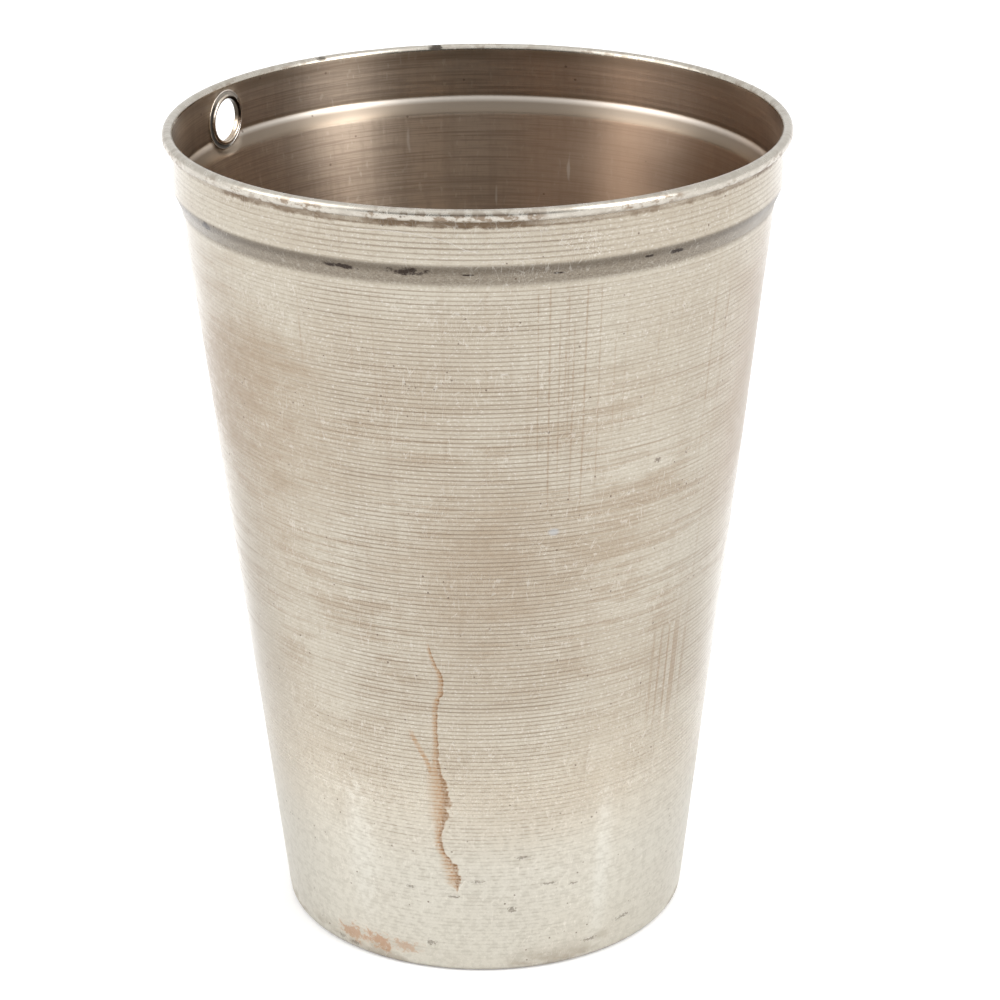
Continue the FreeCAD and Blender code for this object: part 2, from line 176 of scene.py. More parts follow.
def groove(theta, z):
    """Radial shift of the outer face by the spinning grooves."""
    wall = -0.030 * np.cos(6.283185 * (z - PHASE_WALL) / PITCH_WALL) * row_depth(z, PITCH_WALL, PHASE_WALL, 1.7)
    wall = wall * ripple(theta, z) * wear(theta) * smooth(z, 52.0, 108.0) * (1 - smooth(z, 279.0, 281.5))
    collar = -0.028 * np.cos(6.283185 * (z - PHASE_COLLAR) / PITCH_COLLAR) * row_depth(z, PITCH_COLLAR, PHASE_COLLAR, 4.1)
    collar = collar * ripple(theta + 1.3, z) * smooth(z, 290.0, 291.5) * (1 - smooth(z, 304.0, 306.0))
    return wall + collar


def inner_lines(theta, z):
    """Fine uneven spinning lines on the inner face."""
    v = 0.006 * np.sin(6.283 * z / 3.1 + 0.6 * np.sin(2 * theta)) + 0.005 * np.sin(6.283 * z / 4.7 + 1.0)
    v = v + 0.004 * np.sin(6.283 * z / 2.2 + 2.0 + 0.8 * np.sin(theta))
    return v * smooth(z, 12.0, 30.0) * (1 - smooth(z, 303.0, 306.0)) * (1 - 0.7 * smooth(z, 280.0, 284.0) * (1 - smooth(z, 289.0, 291.0)))


def face_radius(side, theta, z):
    """Radius of the sheet's outer (+1) or inner (-1) face at an angle and a height."""
    theta, z = np.asarray(theta, float), np.asarray(z, float)
    phi = (theta - math.pi / 2 + math.pi) % (2 * math.pi) - math.pi
    if side > 0:
        base = np.interp(z, OUT_Z, OUT_R)
        plane, r0, r1 = 110.7, 9.6, 13.4
    else:
        base = np.interp(z, IN_Z, IN_R)
        plane, r0, r1 = 109.8, 11.5, 13.2
    near = np.abs(phi) < 0.5
    rr = np.hypot(np.where(near, 110.7 * np.tan(np.where(near, phi, 0.0)), 999.0), z - HOLE_Z)
    w = (1 - smooth(rr, r0, r1)) * (1 - smooth(z, 305.6, 307.9))
    quiet = smooth(rr, 12.0, 18.0)
    extra = dent(theta, z) * quiet + (groove(theta, z) if side > 0 else inner_lines(theta, z)) * smooth(rr, r0 + 0.5, r1 + 0.5)
    flat = plane / np.cos(np.where(near, phi, 0.0))
    return base * (1 - w) + flat * w + extra


# ------------------------------------------------------------------ the pail's mesh
fine = [78.0 + k for k in range(25)]  # 1 degree apart round the hanging hole
wide = [102.0 + 3.5 * k for k in range(1, 96)]
COLS = np.radians(np.array(fine + wide))
N = len(COLS)
WIN = (3, 21)  # columns of the window round the hole, 81 to 99 degrees

rows = []  # (kind, r, z): kind "out" and "in" follow face_radius, the others stay as given
for r in (8, 18, 28, 38, 47, 55, 61, 64.4):
    rows.append(("base", r, 2.0))
foot = [p for p in LINE_OUT if 65.0 < p[0] and p[1] < 2.2]
last = None
for p in foot:
    if p[0] >= 70.5 and last is not None and p[0] - last > 3.2:
        rows.append(("base", (p[0] + last) / 2, p[1] if p[1] < 0.01 else 0.0))
    rows.append(("base", p[0], p[1]))
    last = p[0]
z_list = [3.2, 4.5, 6.5, 9, 12, 15.5, 19, 23, 27, 31, 35, 39, 43, 47, 50]
down = []
z = PHASE_WALL
while z > 52.0:
    down.append(z)
    z -= PITCH_WALL / 3
z_list += down[::-1]
z = PHASE_WALL + PITCH_WALL / 4
while z < 281.4:
    z_list.append(z)
    z += PITCH_WALL / 4
bend_z = [q for q in OUT_Z if 281.4 < q < 290.0]
shoulder_out = sorted(set(np.round(list(np.linspace(281.7, 283.2, 5)) + bend_z, 3)))
rows += [("out", 0, z) for z in z_list]
rows += [("out", 0, float(z)) for z in shoulder_out if z < 283.5]
WIN_Z = list(np.arange(283.7, 289.3, 0.7)) + list(PHASE_COLLAR - PITCH_COLLAR / 4 + PITCH_COLLAR / 4 * np.arange(0, 35))
WIN_Z = [float(z) for z in WIN_Z if z < 306.15]
out_win_first = len(rows)
rows += [("out", 0, z) for z in WIN_Z]
out_win_last = len(rows) - 1
rows += [("out", 0, 306.7), ("out", 0, 307.4)]
for k in range(0, 9):
    a = math.radians(180 - 180 * k / 8)
    rows.append(("roll", CX + RI * math.cos(a), Z_UP + RI * math.sin(a)))
for k in range(0, 7):
    a = math.radians(-115 * k / 6)
    rows.append(("roll", CX + RI * math.cos(a), Z_DN + RI * math.sin(a)))
tip_in, tip_out = math.radians(-113), math.radians(-115)
rows.append(("tip", CX + (RI + 0.05) * math.cos(tip_out), Z_DN + (RI + 0.05) * math.sin(tip_out)))
rows.append(("tip", CX + (RO - 0.10) * math.cos(tip_out), Z_DN + (RO - 0.10) * math.sin(tip_out)))
for k in range(0, 9):
    a = math.radians(-113 + 113 * k / 8)
    rows.append(("bead", CX + RO * math.cos(a), Z_DN + RO * math.sin(a)))
for k in range(0, 15):
    a = math.radians(180 * k / 14)
    rows.append(("bead", CX + RO * math.cos(a), Z_UP + RO * math.sin(a)))
MAT_SPLIT = len(rows) - 1  # faces above this row have the inner finish
rows += [("in", 0, 307.4), ("in", 0, 306.7)]
in_win_first = len(rows)
rows += [("in", 0, z) for z in WIN_Z[::-1]]
in_win_last = len(rows) - 1
z = 283.2
while z > 196:
    rows.append(("in", 0, z))
    z -= 0.78 if z > 282 else 1.45
while z > 12:
    rows.append(("in", 0, z))
    z -= 7.5
rows += [("in", 0, z) for z in (8.0, 5.0, 3.4, 2.6)]
for p in [p for p in LINE_IN[::-1] if p[1] < 3.0 and 64 < p[0] and not (p[1] > 2.4 and p[0] > 70)]:
    rows.append(("base", p[0], p[1]))
for r in (62, 56, 48, 39, 29, 19, 9):
    rows.append(("base", r, 2.9))

# drop rows that fall on the one before
clean, shift = [rows[0]], {0: 0}
for i in range(1, len(rows)):
    kind, r, z = rows[i]
    pk, pr, pz = clean[-1]
    same = (kind in ("out", "in")) and pk == kind and abs(z - pz) < 0.02
    same = same or (kind == pk and kind not in ("out", "in") and math.hypot(r - pr, z - pz) < 0.02)
    if not same:
        clean.append(rows[i])
    shift[i] = len(clean) - 1
rows = clean
out_win_first, out_win_last = shift[out_win_first], shift[out_win_last]
in_win_first, in_win_last = shift[in_win_first], shift[in_win_last]
MAT_SPLIT = shift[MAT_SPLIT]

# a few knocks on the bead: (alpha, width in degrees, depth)
KNOCKS = [(-160, 2.2, 0.14), (-170, 1.4, 0.10), (172, 1.6, 0.10), (118, 2.4, 0.12), (-33, 3.4, 0.03), (57, 2.6, 0.03), (-88, 2.4, 0.05), (84, 2.0, 0.05)]


def bead_in(theta, r, z):
    """Pulls a point of the bead towards the wire where the rim was knocked."""
    al = (np.degrees(theta) + ALPHA0 + 180) % 360 - 180
    d = 0.010 + 0.006 * np.sin(9 * theta + 1.0) * np.sin(4 * theta) + 0.004 * np.sin(17 * theta + 0.4)
    for a0, w, depth in KNOCKS:
        gap = (al - a0 + 180) % 360 - 180
        d = d + depth * np.exp(-((gap / w) ** 2))
    d = np.clip(d, 0.0, 0.3)
    k = 1 - d / RO
    zc = Z_UP if z > Z_DN + 0.25 else Z_DN
    return CX + (r - CX) * k, zc + (z - zc) * k


R_ROWS = np.zeros((len(rows), N))
Z_ROWS = np.zeros((len(rows), N))
for i, (kind, r, z) in enumerate(rows):
    if kind == "out":
        R_ROWS[i] = face_radius(1, COLS, z)
        Z_ROWS[i] = z
    elif kind == "in":
        R_ROWS[i] = face_radius(-1, COLS, z)
        Z_ROWS[i] = z
    elif kind == "bead":
        R_ROWS[i], Z_ROWS[i] = bead_in(COLS, r, z)
    else:
        R_ROWS[i] = r
        Z_ROWS[i] = z

verts = []
X = R_ROWS * np.cos(COLS)[None, :]
Y = R_ROWS * np.sin(COLS)[None, :]
index = -np.ones((len(rows), N), int)
for i in range(len(rows)):
    hole_row = (out_win_first < i < out_win_last) or (in_win_first < i < in_win_last)
    for k in range(N):
        if hole_row and WIN[0] < k < WIN[1]:
            continue
        index[i, k] = len(verts)
        verts.append((X[i, k], Y[i, k], Z_ROWS[i, k]))
faces, mats = [], []
for i in range(len(rows) - 1):
    hole_row = (out_win_first <= i < out_win_last) or (in_win_first <= i < in_win_last)
    m = 0 if i < MAT_SPLIT else 1
    for k in range(N):
        if hole_row and WIN[0] <= k < WIN[1]:
            continue
        k2 = (k + 1) % N
        faces.append((index[i, k], index[i, k2], index[i + 1, k2], index[i + 1, k]))
        mats.append(m)
low_pole, high_pole = len(verts), len(verts) + 1
verts += [(0, 0, 2.0), (0, 0, 2.9)]
for k in range(N):
    k2 = (k + 1) % N
    faces.append((low_pole, index[0, k2], index[0, k]))
    mats.append(0)
    faces.append((high_pole, index[-1, k], index[-1, k2]))
    mats.append(1)


def window_loop(first, last):
    """The grid's vertices round the window, with their angle from the hole and height, in order."""
    loop = []
    for k in range(WIN[0], WIN[1]):
        loop.append((first, k))
    for i in range(first, last):
        loop.append((i, WIN[1]))
    for k in range(WIN[1], WIN[0], -1):
        loop.append((last, k))
    for i in range(last, first, -1):
        loop.append((i, WIN[0]))
    return loop


RINGS = [0.10, 0.20, 0.30, 0.40, 0.49, 0.58, 0.66, 0.73, 0.80, 0.86, 0.91, 0.955, 1.0]


def fill_window(side, first, last, hole_y):
    loop = window_loop(first, last)
    n = len(loop)
    phi_b = np.array([COLS[k] - math.pi / 2 for _, k in loop])
    z_b = np.array([rows[i][2] for i, _ in loop]) - HOLE_Z
    own = np.unwrap(np.arctan2(z_b, phi_b * 110.7))
    turn = 1.0 if own[-1] > own[0] else -1.0
    # even angles on the hole, started where they match the loop best
    even = own.mean() + turn * 2 * math.pi * (np.arange(n) - (n - 1) / 2) / n
    ring_ids = [[index[i, k] for i, k in loop]]
    for t in RINGS:
        ang = even
        hx = 8.45 * np.cos(ang)
        hz = 8.45 * np.sin(ang)
        hphi = np.arctan2(hx, hole_y)
        phi = phi_b * (1 - t) + hphi * t
        zz = z_b * (1 - t) + hz * t + HOLE_Z
        theta = phi + math.pi / 2
        rad = face_radius(side, theta, zz)
        ids = []
        for q in range(n):
            ids.append(len(verts))
            verts.append((rad[q] * math.cos(theta[q]), rad[q] * math.sin(theta[q]), zz[q]))
        ring_ids.append(ids)
    for a, b in zip(ring_ids, ring_ids[1:]):
        for q in range(n):
            q2 = (q + 1) % n
            faces.append((a[q], a[q2], b[q2], b[q]))
            mats.append(0 if side > 0 else 1)
    return ring_ids[-1]


loop_out = fill_window(1, out_win_first, out_win_last, 110.7)
loop_in = fill_window(-1, in_win_first, in_win_last, 109.8)
# the two hole edges: pair each vertex of the outer loop with the nearest of the inner loop
p_out, p_in = np.array([verts[i] for i in loop_out]), np.array([verts[i] for i in loop_in])
first_in = int(np.argmin(np.linalg.norm((p_in - p_out[0])[:, [0, 2]], axis=1)))
n = len(loop_out)
step_out = np.arctan2(p_out[1][2] - HOLE_Z, p_out[1][0]) - np.arctan2(p_out[0][2] - HOLE_Z, p_out[0][0])
step_in = np.arctan2(p_in[1][2] - HOLE_Z, p_in[1][0]) - np.arctan2(p_in[0][2] - HOLE_Z, p_in[0][0])
same_way = 1 if step_out * step_in > 0 else -1
for q in range(n):
    a, b = loop_out[q], loop_out[(q + 1) % n]
    c, d = loop_in[(first_in + same_way * q) % n], loop_in[(first_in + same_way * (q + 1)) % n]
    faces.append((a, b, d, c))
    mats.append(1)


def cylinder_uv(mesh):
    """UV layer 'cyl': U = alpha / 100 degrees, V = height / 100 mm, with its seam at the back."""
    uv = mesh.uv_layers.new(name="cyl")
    co = np.zeros(len(mesh.vertices) * 3, np.float32)
    mesh.vertices.foreach_get("co", co)
    co = co.reshape(-1, 3)
    alpha = (np.degrees(np.arctan2(co[:, 1], co[:, 0])) + ALPHA0 + 180) % 360 - 180
    loops = np.zeros(len(mesh.loops), np.int32)
    mesh.loops.foreach_get("vertex_index", loops)
    starts = np.zeros(len(mesh.polygons), np.int32)
    totals = np.zeros(len(mesh.polygons), np.int32)
    mesh.polygons.foreach_get("loop_start", starts)
    mesh.polygons.foreach_get("loop_total", totals)
    u = alpha[loops]
    v = co[loops, 2] * 1000
    owner = np.repeat(np.arange(len(starts)), totals)
    ref = u[starts][owner]
    u = u - 360 * np.round((u - ref) / 360)
    out = np.stack([u / 100, v / 100], 1).astype(np.float32).ravel()
    uv.data.foreach_set("uv", out)


def make_piece(name, points, polys, poly_mats, materials, uv=True):
    mesh = bpy.data.meshes.new(name)
    mesh.from_pydata([(x * MM, y * MM, z * MM) for x, y, z in points], [], [tuple(int(i) for i in f) for f in polys])
    for m in materials:
        mesh.materials.append(m)
    mesh.polygons.foreach_set("material_index", np.array(poly_mats, np.int32))
    mesh.polygons.foreach_set("use_smooth", np.ones(len(polys), bool))
    mesh.update()
    bm_volume = signed_volume(mesh)
    if bm_volume < 0:
        mesh.flip_normals()
    mesh.update()
    if uv:
        cylinder_uv(mesh)
    obj = bpy.data.objects.new(name, mesh)
    scene.collection.objects.link(obj)
    return obj


def signed_volume(mesh):
    mesh.calc_loop_triangles()
    v = np.zeros(len(mesh.vertices) * 3, np.float32)
    mesh.vertices.foreach_get("co", v)
    v = v.reshape(-1, 3).astype(float)
    t = np.zeros(len(mesh.loop_triangles) * 3, np.int32)
    mesh.loop_triangles.foreach_get("vertices", t)
    t = t.reshape(-1, 3)
    return float(np.einsum("ij,ij->i", v[t[:, 0]], np.cross(v[t[:, 1]], v[t[:, 2]])).sum() / 6)


# ------------------------------------------------------------------ node helper
class Graph:
    """Short names for the shader nodes used below. Heights are in mm and alpha in degrees."""

    def __init__(self, name):
        self.mat = bpy.data.materials.new(name)
        self.mat.use_nodes = True
        self.tree = self.mat.node_tree
        self.tree.nodes.clear()
        self.out = self.tree.nodes.new("ShaderNodeOutputMaterial")
        self.bsdf = self.tree.nodes.new("ShaderNodeBsdfPrincipled")
        self.tree.links.new(self.bsdf.outputs[0], self.out.inputs["Surface"])
        self._geo = None

    def put(self, socket, value):
        if isinstance(value, bpy.types.NodeSocket):
            self.tree.links.new(value, socket)
        elif value is not None:
            socket.default_value = value

    def math(self, op, a, b=None, c=None, clamp=False):
        n = self.tree.nodes.new("ShaderNodeMath")
        n.operation, n.use_clamp = op, clamp
        for s, v in zip(n.inputs, (a, b, c)):
            self.put(s, v)
        return n.outputs[0]

    def add(self, a, b):
        return self.math("ADD", a, b)

    def sub(self, a, b):
        return self.math("SUBTRACT", a, b)

    def mul(self, a, b):
        return self.math("MULTIPLY", a, b)

    def step(self, v, lo, hi, to_lo=0.0, to_hi=1.0):
        n = self.tree.nodes.new("ShaderNodeMapRange")
        n.interpolation_type = "SMOOTHSTEP"
        self.put(n.inputs["Value"], v)
        n.inputs["From Min"].default_value = lo
        n.inputs["From Max"].default_value = hi
        n.inputs["To Min"].default_value = to_lo
        n.inputs["To Max"].default_value = to_hi
        return n.outputs[0]

    def lin(self, v, lo, hi, to_lo=0.0, to_hi=1.0):
        n = self.tree.nodes.new("ShaderNodeMapRange")
        self.put(n.inputs["Value"], v)
        n.inputs["From Min"].default_value = lo
        n.inputs["From Max"].default_value = hi
        n.inputs["To Min"].default_value = to_lo
        n.inputs["To Max"].default_value = to_hi
        return n.outputs[0]

    def object_mm(self, sx=1.0, sy=None, sz=None, move=(0, 0, 0)):
        """Object position in mm, scaled along each axis."""
        if self._geo is None:
            self._geo = self.tree.nodes.new("ShaderNodeTexCoord").outputs["Object"]
        sy, sz = sx if sy is None else sy, sx if sz is None else sz
        n = self.tree.nodes.new("ShaderNodeMapping")
        self.put(n.inputs["Vector"], self._geo)
        n.inputs["Scale"].default_value = (1000 * sx, 1000 * sy, 1000 * sz)
        n.inputs["Location"].default_value = move
        return n.outputs[0]

    def wall_mm(self, round_, up, move=(0, 0, 0)):
        """Position on the wall in mm, scaled round the pail and up it. It has no seam, and it goes on
        over the base as rings."""
        if not hasattr(self, "_wall"):
            sep = self.tree.nodes.new("ShaderNodeSeparateXYZ")
            self.put(sep.inputs[0], self.object_mm(1.0))
            flat = self.combine(sep.outputs[0], sep.outputs[1], 0.0)
            unit = self.tree.nodes.new("ShaderNodeVectorMath")
            unit.operation = "NORMALIZE"
            self.put(unit.inputs[0], flat)
            size = self.tree.nodes.new("ShaderNodeVectorMath")
            size.operation = "LENGTH"
            self.put(size.inputs[0], flat)
            self.radius = size.outputs["Value"]
            height = self.add(sep.outputs[2], self.math("MINIMUM", self.sub(size.outputs["Value"], 76.0), 0.0))
            ring = self.tree.nodes.new("ShaderNodeVectorMath")
            ring.operation = "MULTIPLY_ADD"
            self.put(ring.inputs[0], unit.outputs[0])
            ring.inputs[1].default_value = (95.0, 95.0, 0.0)
            self.put(ring.inputs[2], self.combine(0.0, 0.0, height))
            self._wall = ring.outputs[0]
        n = self.tree.nodes.new("ShaderNodeVectorMath")
        n.operation = "MULTIPLY_ADD"
        self.put(n.inputs[0], self._wall)
        n.inputs[1].default_value = (round_, round_, up)
        n.inputs[2].default_value = move
        return n.outputs[0]

    def around(self):
        """(alpha in degrees, height in mm)."""
        if not hasattr(self, "_cyl"):
            uv = self.tree.nodes.new("ShaderNodeUVMap")
            uv.uv_map = "cyl"
            sep = self.tree.nodes.new("ShaderNodeSeparateXYZ")
            self.put(sep.inputs[0], uv.outputs[0])
            self._cyl = (self.mul(sep.outputs[0], 100.0), self.mul(sep.outputs[1], 100.0))
        return self._cyl

    def combine(self, x, y, z=0.0):
        n = self.tree.nodes.new("ShaderNodeCombineXYZ")
        for s, v in zip(n.inputs, (x, y, z)):
            self.put(s, v)
        return n.outputs[0]

    def noise(self, vec, scale=1.0, detail=2.0, rough=0.5, distort=0.0):
        n = self.tree.nodes.new("ShaderNodeTexNoise")
        self.put(n.inputs["Vector"], vec)
        n.inputs["Scale"].default_value = scale
        n.inputs["Detail"].default_value = detail
        n.inputs["Roughness"].default_value = rough
        n.inputs["Distortion"].default_value = distort
        return n.outputs["Fac"]

    def cells(self, vec, scale=1.0, feature="F1", randomness=1.0):
        n = self.tree.nodes.new("ShaderNodeTexVoronoi")
        n.feature = feature
        self.put(n.inputs["Vector"], vec)
        n.inputs["Scale"].default_value = scale
        n.inputs["Randomness"].default_value = randomness
        return n.outputs["Distance"]

    def curve(self, v, points, lo, hi, out_lo, out_hi):
        """A drawn curve: v from lo to hi, value from out_lo to out_hi."""
        x = self.lin(v, lo, hi)
        n = self.tree.nodes.new("ShaderNodeFloatCurve")
        c = n.mapping.curves[0]
        pts = sorted(((p - lo) / (hi - lo), (q - out_lo) / (out_hi - out_lo)) for p, q in points)
        if pts[0][0] > 0:
            pts.insert(0, (0.0, pts[0][1]))
        if pts[-1][0] < 1:
            pts.append((1.0, pts[-1][1]))
        c.points[0].location = pts[0]
        c.points[1].location = pts[-1]
        for p in pts[1:-1]:
            c.points.new(*p)
        for p in c.points:
            p.handle_type = "AUTO"
        n.mapping.update()
        self.put(n.inputs["Value"], x)
        return self.lin(n.outputs[0], 0.0, 1.0, out_lo, out_hi)

    def mix(self, fac, a, b, blend="MIX"):
        n = self.tree.nodes.new("ShaderNodeMix")
        n.data_type, n.blend_type, n.clamp_factor = "RGBA", blend, True
        self.put(n.inputs[0], fac)
        self.put(n.inputs[6], a if isinstance(a, bpy.types.NodeSocket) else (*a, 1.0))
        self.put(n.inputs[7], b if isinstance(b, bpy.types.NodeSocket) else (*b, 1.0))
        return n.outputs[2]

    def mixf(self, fac, a, b):
        n = self.tree.nodes.new("ShaderNodeMix")
        n.data_type = "FLOAT"
        self.put(n.inputs[0], fac)
        self.put(n.inputs[2], a)
        self.put(n.inputs[3], b)
        return n.outputs[0]

    def patch(self, a0, z0, aw, zw, edge=0.45, wobble=None, amount=0.35):
        """1 inside an ellipse of half widths aw degrees and zw mm, fading out at its edge."""
        al, z = self.around()
        u = self.mul(self.sub(al, a0), 1.0 / aw)
        v = self.mul(self.sub(z, z0), 1.0 / zw)
        d = self.math("SQRT", self.add(self.mul(u, u), self.mul(v, v)))
        if wobble is not None:
            d = self.add(d, self.mul(self.sub(wobble, 0.5), 2 * amount))
        return self.step(d, 1.0, 1.0 - edge)

    def bump(self, height, strength, distance_mm, normal=None):
        n = self.tree.nodes.new("ShaderNodeBump")
        n.inputs["Strength"].default_value = strength
        n.inputs["Distance"].default_value = distance_mm * MM
        self.put(n.inputs["Height"], height)
        if normal is not None:
            self.put(n.inputs["Normal"], normal)
        return n.outputs[0]


def at_most(g, *values):
    v = values[0]
    for w in values[1:]:
        v = g.math("MAXIMUM", v, w)
    return v


# ------------------------------------------------------------------ outer finish
def hairs(g, seed, lean, gate, across=1.3, along=16.0, width=0.020, piece=4.0):
    """Short straight fine scratches that lean by the given degrees from the vertical."""
    al, z = g.around()
    s = g.mul(al, 1.75)
    t = math.radians(lean)
    p = g.add(g.mul(s, math.cos(t)), g.mul(z, math.sin(t)))
    q = g.add(g.mul(s, -math.sin(t)), g.mul(z, math.cos(t)))
    n = g.noise(g.combine(g.mul(p, 1.0 / across), g.mul(q, 1.0 / along), seed), 1.0, 0.0)
    cut = g.noise(g.combine(g.mul(p, 1.0 / 1.6), g.mul(q, 1.0 / piece), seed + 3.7), 1.0, 0.0)
    line = g.mul(g.step(g.math("ABSOLUTE", g.sub(n, 0.5)), width, width * 0.25), g.step(cut, 0.54, 0.62))
    return g.mul(line, gate)


# thin brown runs: (alpha at the top, lean towards the bottom, low z, high z, half width in degrees, amount)
RUNS = [
    (10.6, 0.5, 205, 281, 0.22, 0.75), (12.8, 0.6, 190, 283, 0.30, 0.85), (14.8, 0.4, 200, 270, 0.24, 0.7), (16.4, 0.6, 215, 281, 0.22, 0.6),
    (17.6, 0.3, 190, 268, 0.28, 0.75), (19.9, 0.4, 188, 282, 0.30, 0.85), (22.6, 0.8, 196, 281, 0.26, 0.6), (26.0, 0.5, 214, 262, 0.24, 0.5),
    (-35.5, -0.3, 238, 276, 0.26, 0.55), (-24.6, 0.2, 244, 284, 0.22, 0.4), (41.0, 0.8, 222, 275, 0.22, 0.35), (-20.0, 0.0, 222, 282, 0.2, 0.35),
]


def outer_finish():
    g = Graph("aged_aluminium_outside")
    al, z = g.around()
    cloud = g.noise(g.wall_mm(0.014, 0.026, (3.1, 1.7, 0.4)), 1.0, 2.0, 0.5, 0.3)
    cloud2 = g.noise(g.wall_mm(0.035, 0.075, (7.7, 2.2, 5.1)), 1.0, 3.0, 0.6, 0.3)
    mottle = g.noise(g.wall_mm(0.30, 0.42, (1.2, 9.4, 2.6)), 1.0, 3.0, 0.65)
    # vertical streaks: quick round the pail, slow up it
    streak = g.noise(g.wall_mm(0.13, 0.005, (0.3, 4.4, 1.5)), 1.0, 2.0, 0.6)
    streak2 = g.noise(g.wall_mm(0.50, 0.004, (5.3, 0.4, 8.5)), 1.0, 1.0, 0.5)
    # brushing: quick up the pail, slow round it
    brush = g.noise(g.wall_mm(0.012, 2.4, (2.3, 6.4, 0.5)), 1.0, 2.0, 0.65)
    brush2 = g.noise(g.wall_mm(0.020, 0.62, (8.3, 3.4, 4.5)), 1.0, 2.0, 0.65)
    high = g.step(z, 30.0, 90.0, 0.75, 1.0)

    base = g.mix(g.step(cloud, 0.35, 0.65), (0.565, 0.515, 0.425), (0.515, 0.455, 0.365))
    base = g.mix(g.mul(g.step(mottle, 0.46, 0.70), 0.36), base, (0.45, 0.395, 0.32))
    base = g.mix(g.mul(g.step(streak, 0.48, 0.70), 0.26), base, (0.46, 0.40, 0.32))
    base = g.mix(g.mul(g.step(brush2, 0.48, 0.74), g.mul(high, 0.34)), base, (0.42, 0.36, 0.285))
    base = g.mix(g.mul(g.step(brush, 0.52, 0.72), g.mul(high, 0.22)), base, (0.78, 0.74, 0.66))
    grain = g.noise(g.wall_mm(1.05, 1.5, (4.1, 2.4, 7.6)), 1.0, 1.0, 0.7)
    base = g.mix(g.step(grain, 0.42, 0.26, 0.0, 0.45), base, (0.33, 0.28, 0.22))
    fleck = g.step(grain, 0.60, 0.72)
    base = g.mix(g.mul(fleck, 0.45), base, (0.84, 0.81, 0.75))
    # low on the wall it is mottled grey-green instead of brushed
    low = g.step(z, 84.0, 36.0)
    spot = g.mul(low, g.step(mottle, 0.44, 0.62))
    stains = g.mul(g.step(z, 190.0, 90.0, 0.3, 1.0), g.step(g.add(g.mul(cloud2, 0.6), g.mul(mottle, 0.4)), 0.49, 0.62))
    base = g.mix(g.mul(stains, 0.34), base, (0.44, 0.375, 0.29))
    # painted highlights: two lighter upright bands low on the wall
    painted_highlight_low = g.math("MAXIMUM", g.mul(g.patch(32.0, 34.0, 4.2, 58.0, 1.0, mottle, 0.4), 0.50), g.mul(g.patch(-34.0, 46.0, 6.0, 44.0, 0.8, mottle, 0.5), 0.35))
    base = g.mix(painted_highlight_low, base, (0.78, 0.765, 0.70))
    base = g.mix(g.mul(low, 0.6), base, (0.555, 0.545, 0.49))
    base = g.mix(g.mul(spot, 0.26), base, (0.385, 0.36, 0.30))

    # tarnish, in level bands across the middle of the wall
    mid = g.mul(g.step(z, 84.0, 150.0), g.step(z, 270.0, 215.0))
    band = g.add(g.mul(brush2, 0.55), g.mul(cloud2, 0.65))
    tarnish = g.mul(g.step(band, 0.57, 0.74), mid)
    left_patch = g.mul(g.patch(-62.0, 222.0, 44.0, 82.0, 0.8, band, 0.7), g.lin(mottle, 0.3, 0.7, 0.7, 1.0))
    mid_band = g.mul(g.patch(2.0, 168.0, 36.0, 60.0, 0.8, band, 0.9), g.lin(mottle, 0.3, 0.7, 0.75, 1.0))
    low_right = g.mul(g.patch(47.0, 118.0, 13.0, 36.0, 0.9, cloud2, 0.7), g.step(streak2, 0.46, 0.62))
    right_edge = g.patch(74.0, 225.0, 24.0, 100.0, 0.9, cloud2, 0.4)
    brown = at_most(g, g.mul(tarnish, 0.45), g.mul(left_patch, 0.92), g.mul(mid_band, 0.66), g.mul(low_right, 0.75), g.mul(right_edge, 0.85))
    base = g.mix(brown, base, (0.37, 0.28, 0.195))

    # thin brown runs down the wall, mostly right of the middle
    zone = at_most(g, g.mul(g.patch(24.0, 240.0, 24.0, 66.0, 0.7), 0.7), g.mul(g.patch(56.0, 215.0, 22.0, 90.0, 0.6), 0.7), g.mul(g.step(z, 100.0, 150.0), 0.18))
    runs = g.mul(g.mul(g.step(streak2, 0.60, 0.70), g.step(cloud2, 0.38, 0.55, 0.45, 1.0)), zone)
    sway = g.mul(g.sub(mottle, 0.5), 0.35)
    for a0, lean, lo, hi, width, amount in RUNS:
        off = g.math("ABSOLUTE", g.add(g.sub(al, g.lin(z, lo, hi, a0 + lean, a0)), sway))
        one = g.mul(g.step(off, width, width * 0.2), g.mul(g.step(z, lo, lo + 14.0), g.step(z, hi, hi - 5.0)))
        runs = g.math("MAXIMUM", runs, g.mul(one, amount))
    runs = g.mul(runs, g.lin(mottle, 0.35, 0.6, 0.22, 0.55))
    base = g.mix(runs, base, (0.31, 0.20, 0.12))

    # dirt in the grooves, in step with the mesh
    ph = g.math("FRACT", g.mul(g.sub(z, PHASE_WALL - 0.5 * PITCH_WALL), 1.0 / PITCH_WALL))
    valley = g.step(g.math("ABSOLUTE", g.sub(ph, 0.5)), 0.26, 0.04)
    in_wall = g.mul(g.mul(g.step(z, 20.0, 100.0, 0.30, 1.0), g.step(z, 2.0, 12.0)), g.step(z, 282.0, 279.0))
    ph2 = g.math("FRACT", g.mul(g.sub(z, PHASE_COLLAR - 0.5 * PITCH_COLLAR), 1.0 / PITCH_COLLAR))
    valley2 = g.step(g.math("ABSOLUTE", g.sub(ph2, 0.5)), 0.26, 0.04)
    in_collar = g.mul(g.step(z, 289.8, 291.0), g.step(z, 306.0, 304.5))
    dirt = g.add(g.mul(valley, in_wall), g.mul(valley2, in_collar))
    dirt = g.mul(dirt, g.mul(g.lin(brush2, 0.35, 0.65, 0.55, 1.0), g.curve(al, WEAR, -180, 180, 0, 1.4)))
    dirt = g.mul(dirt, g.mixf(g.step(z, 120.0, 50.0), 1.0, g.step(mottle, 0.38, 0.60, 0.25, 1.0)))
    base = g.mix(g.mul(dirt, 0.58), base, (0.19, 0.14, 0.095))

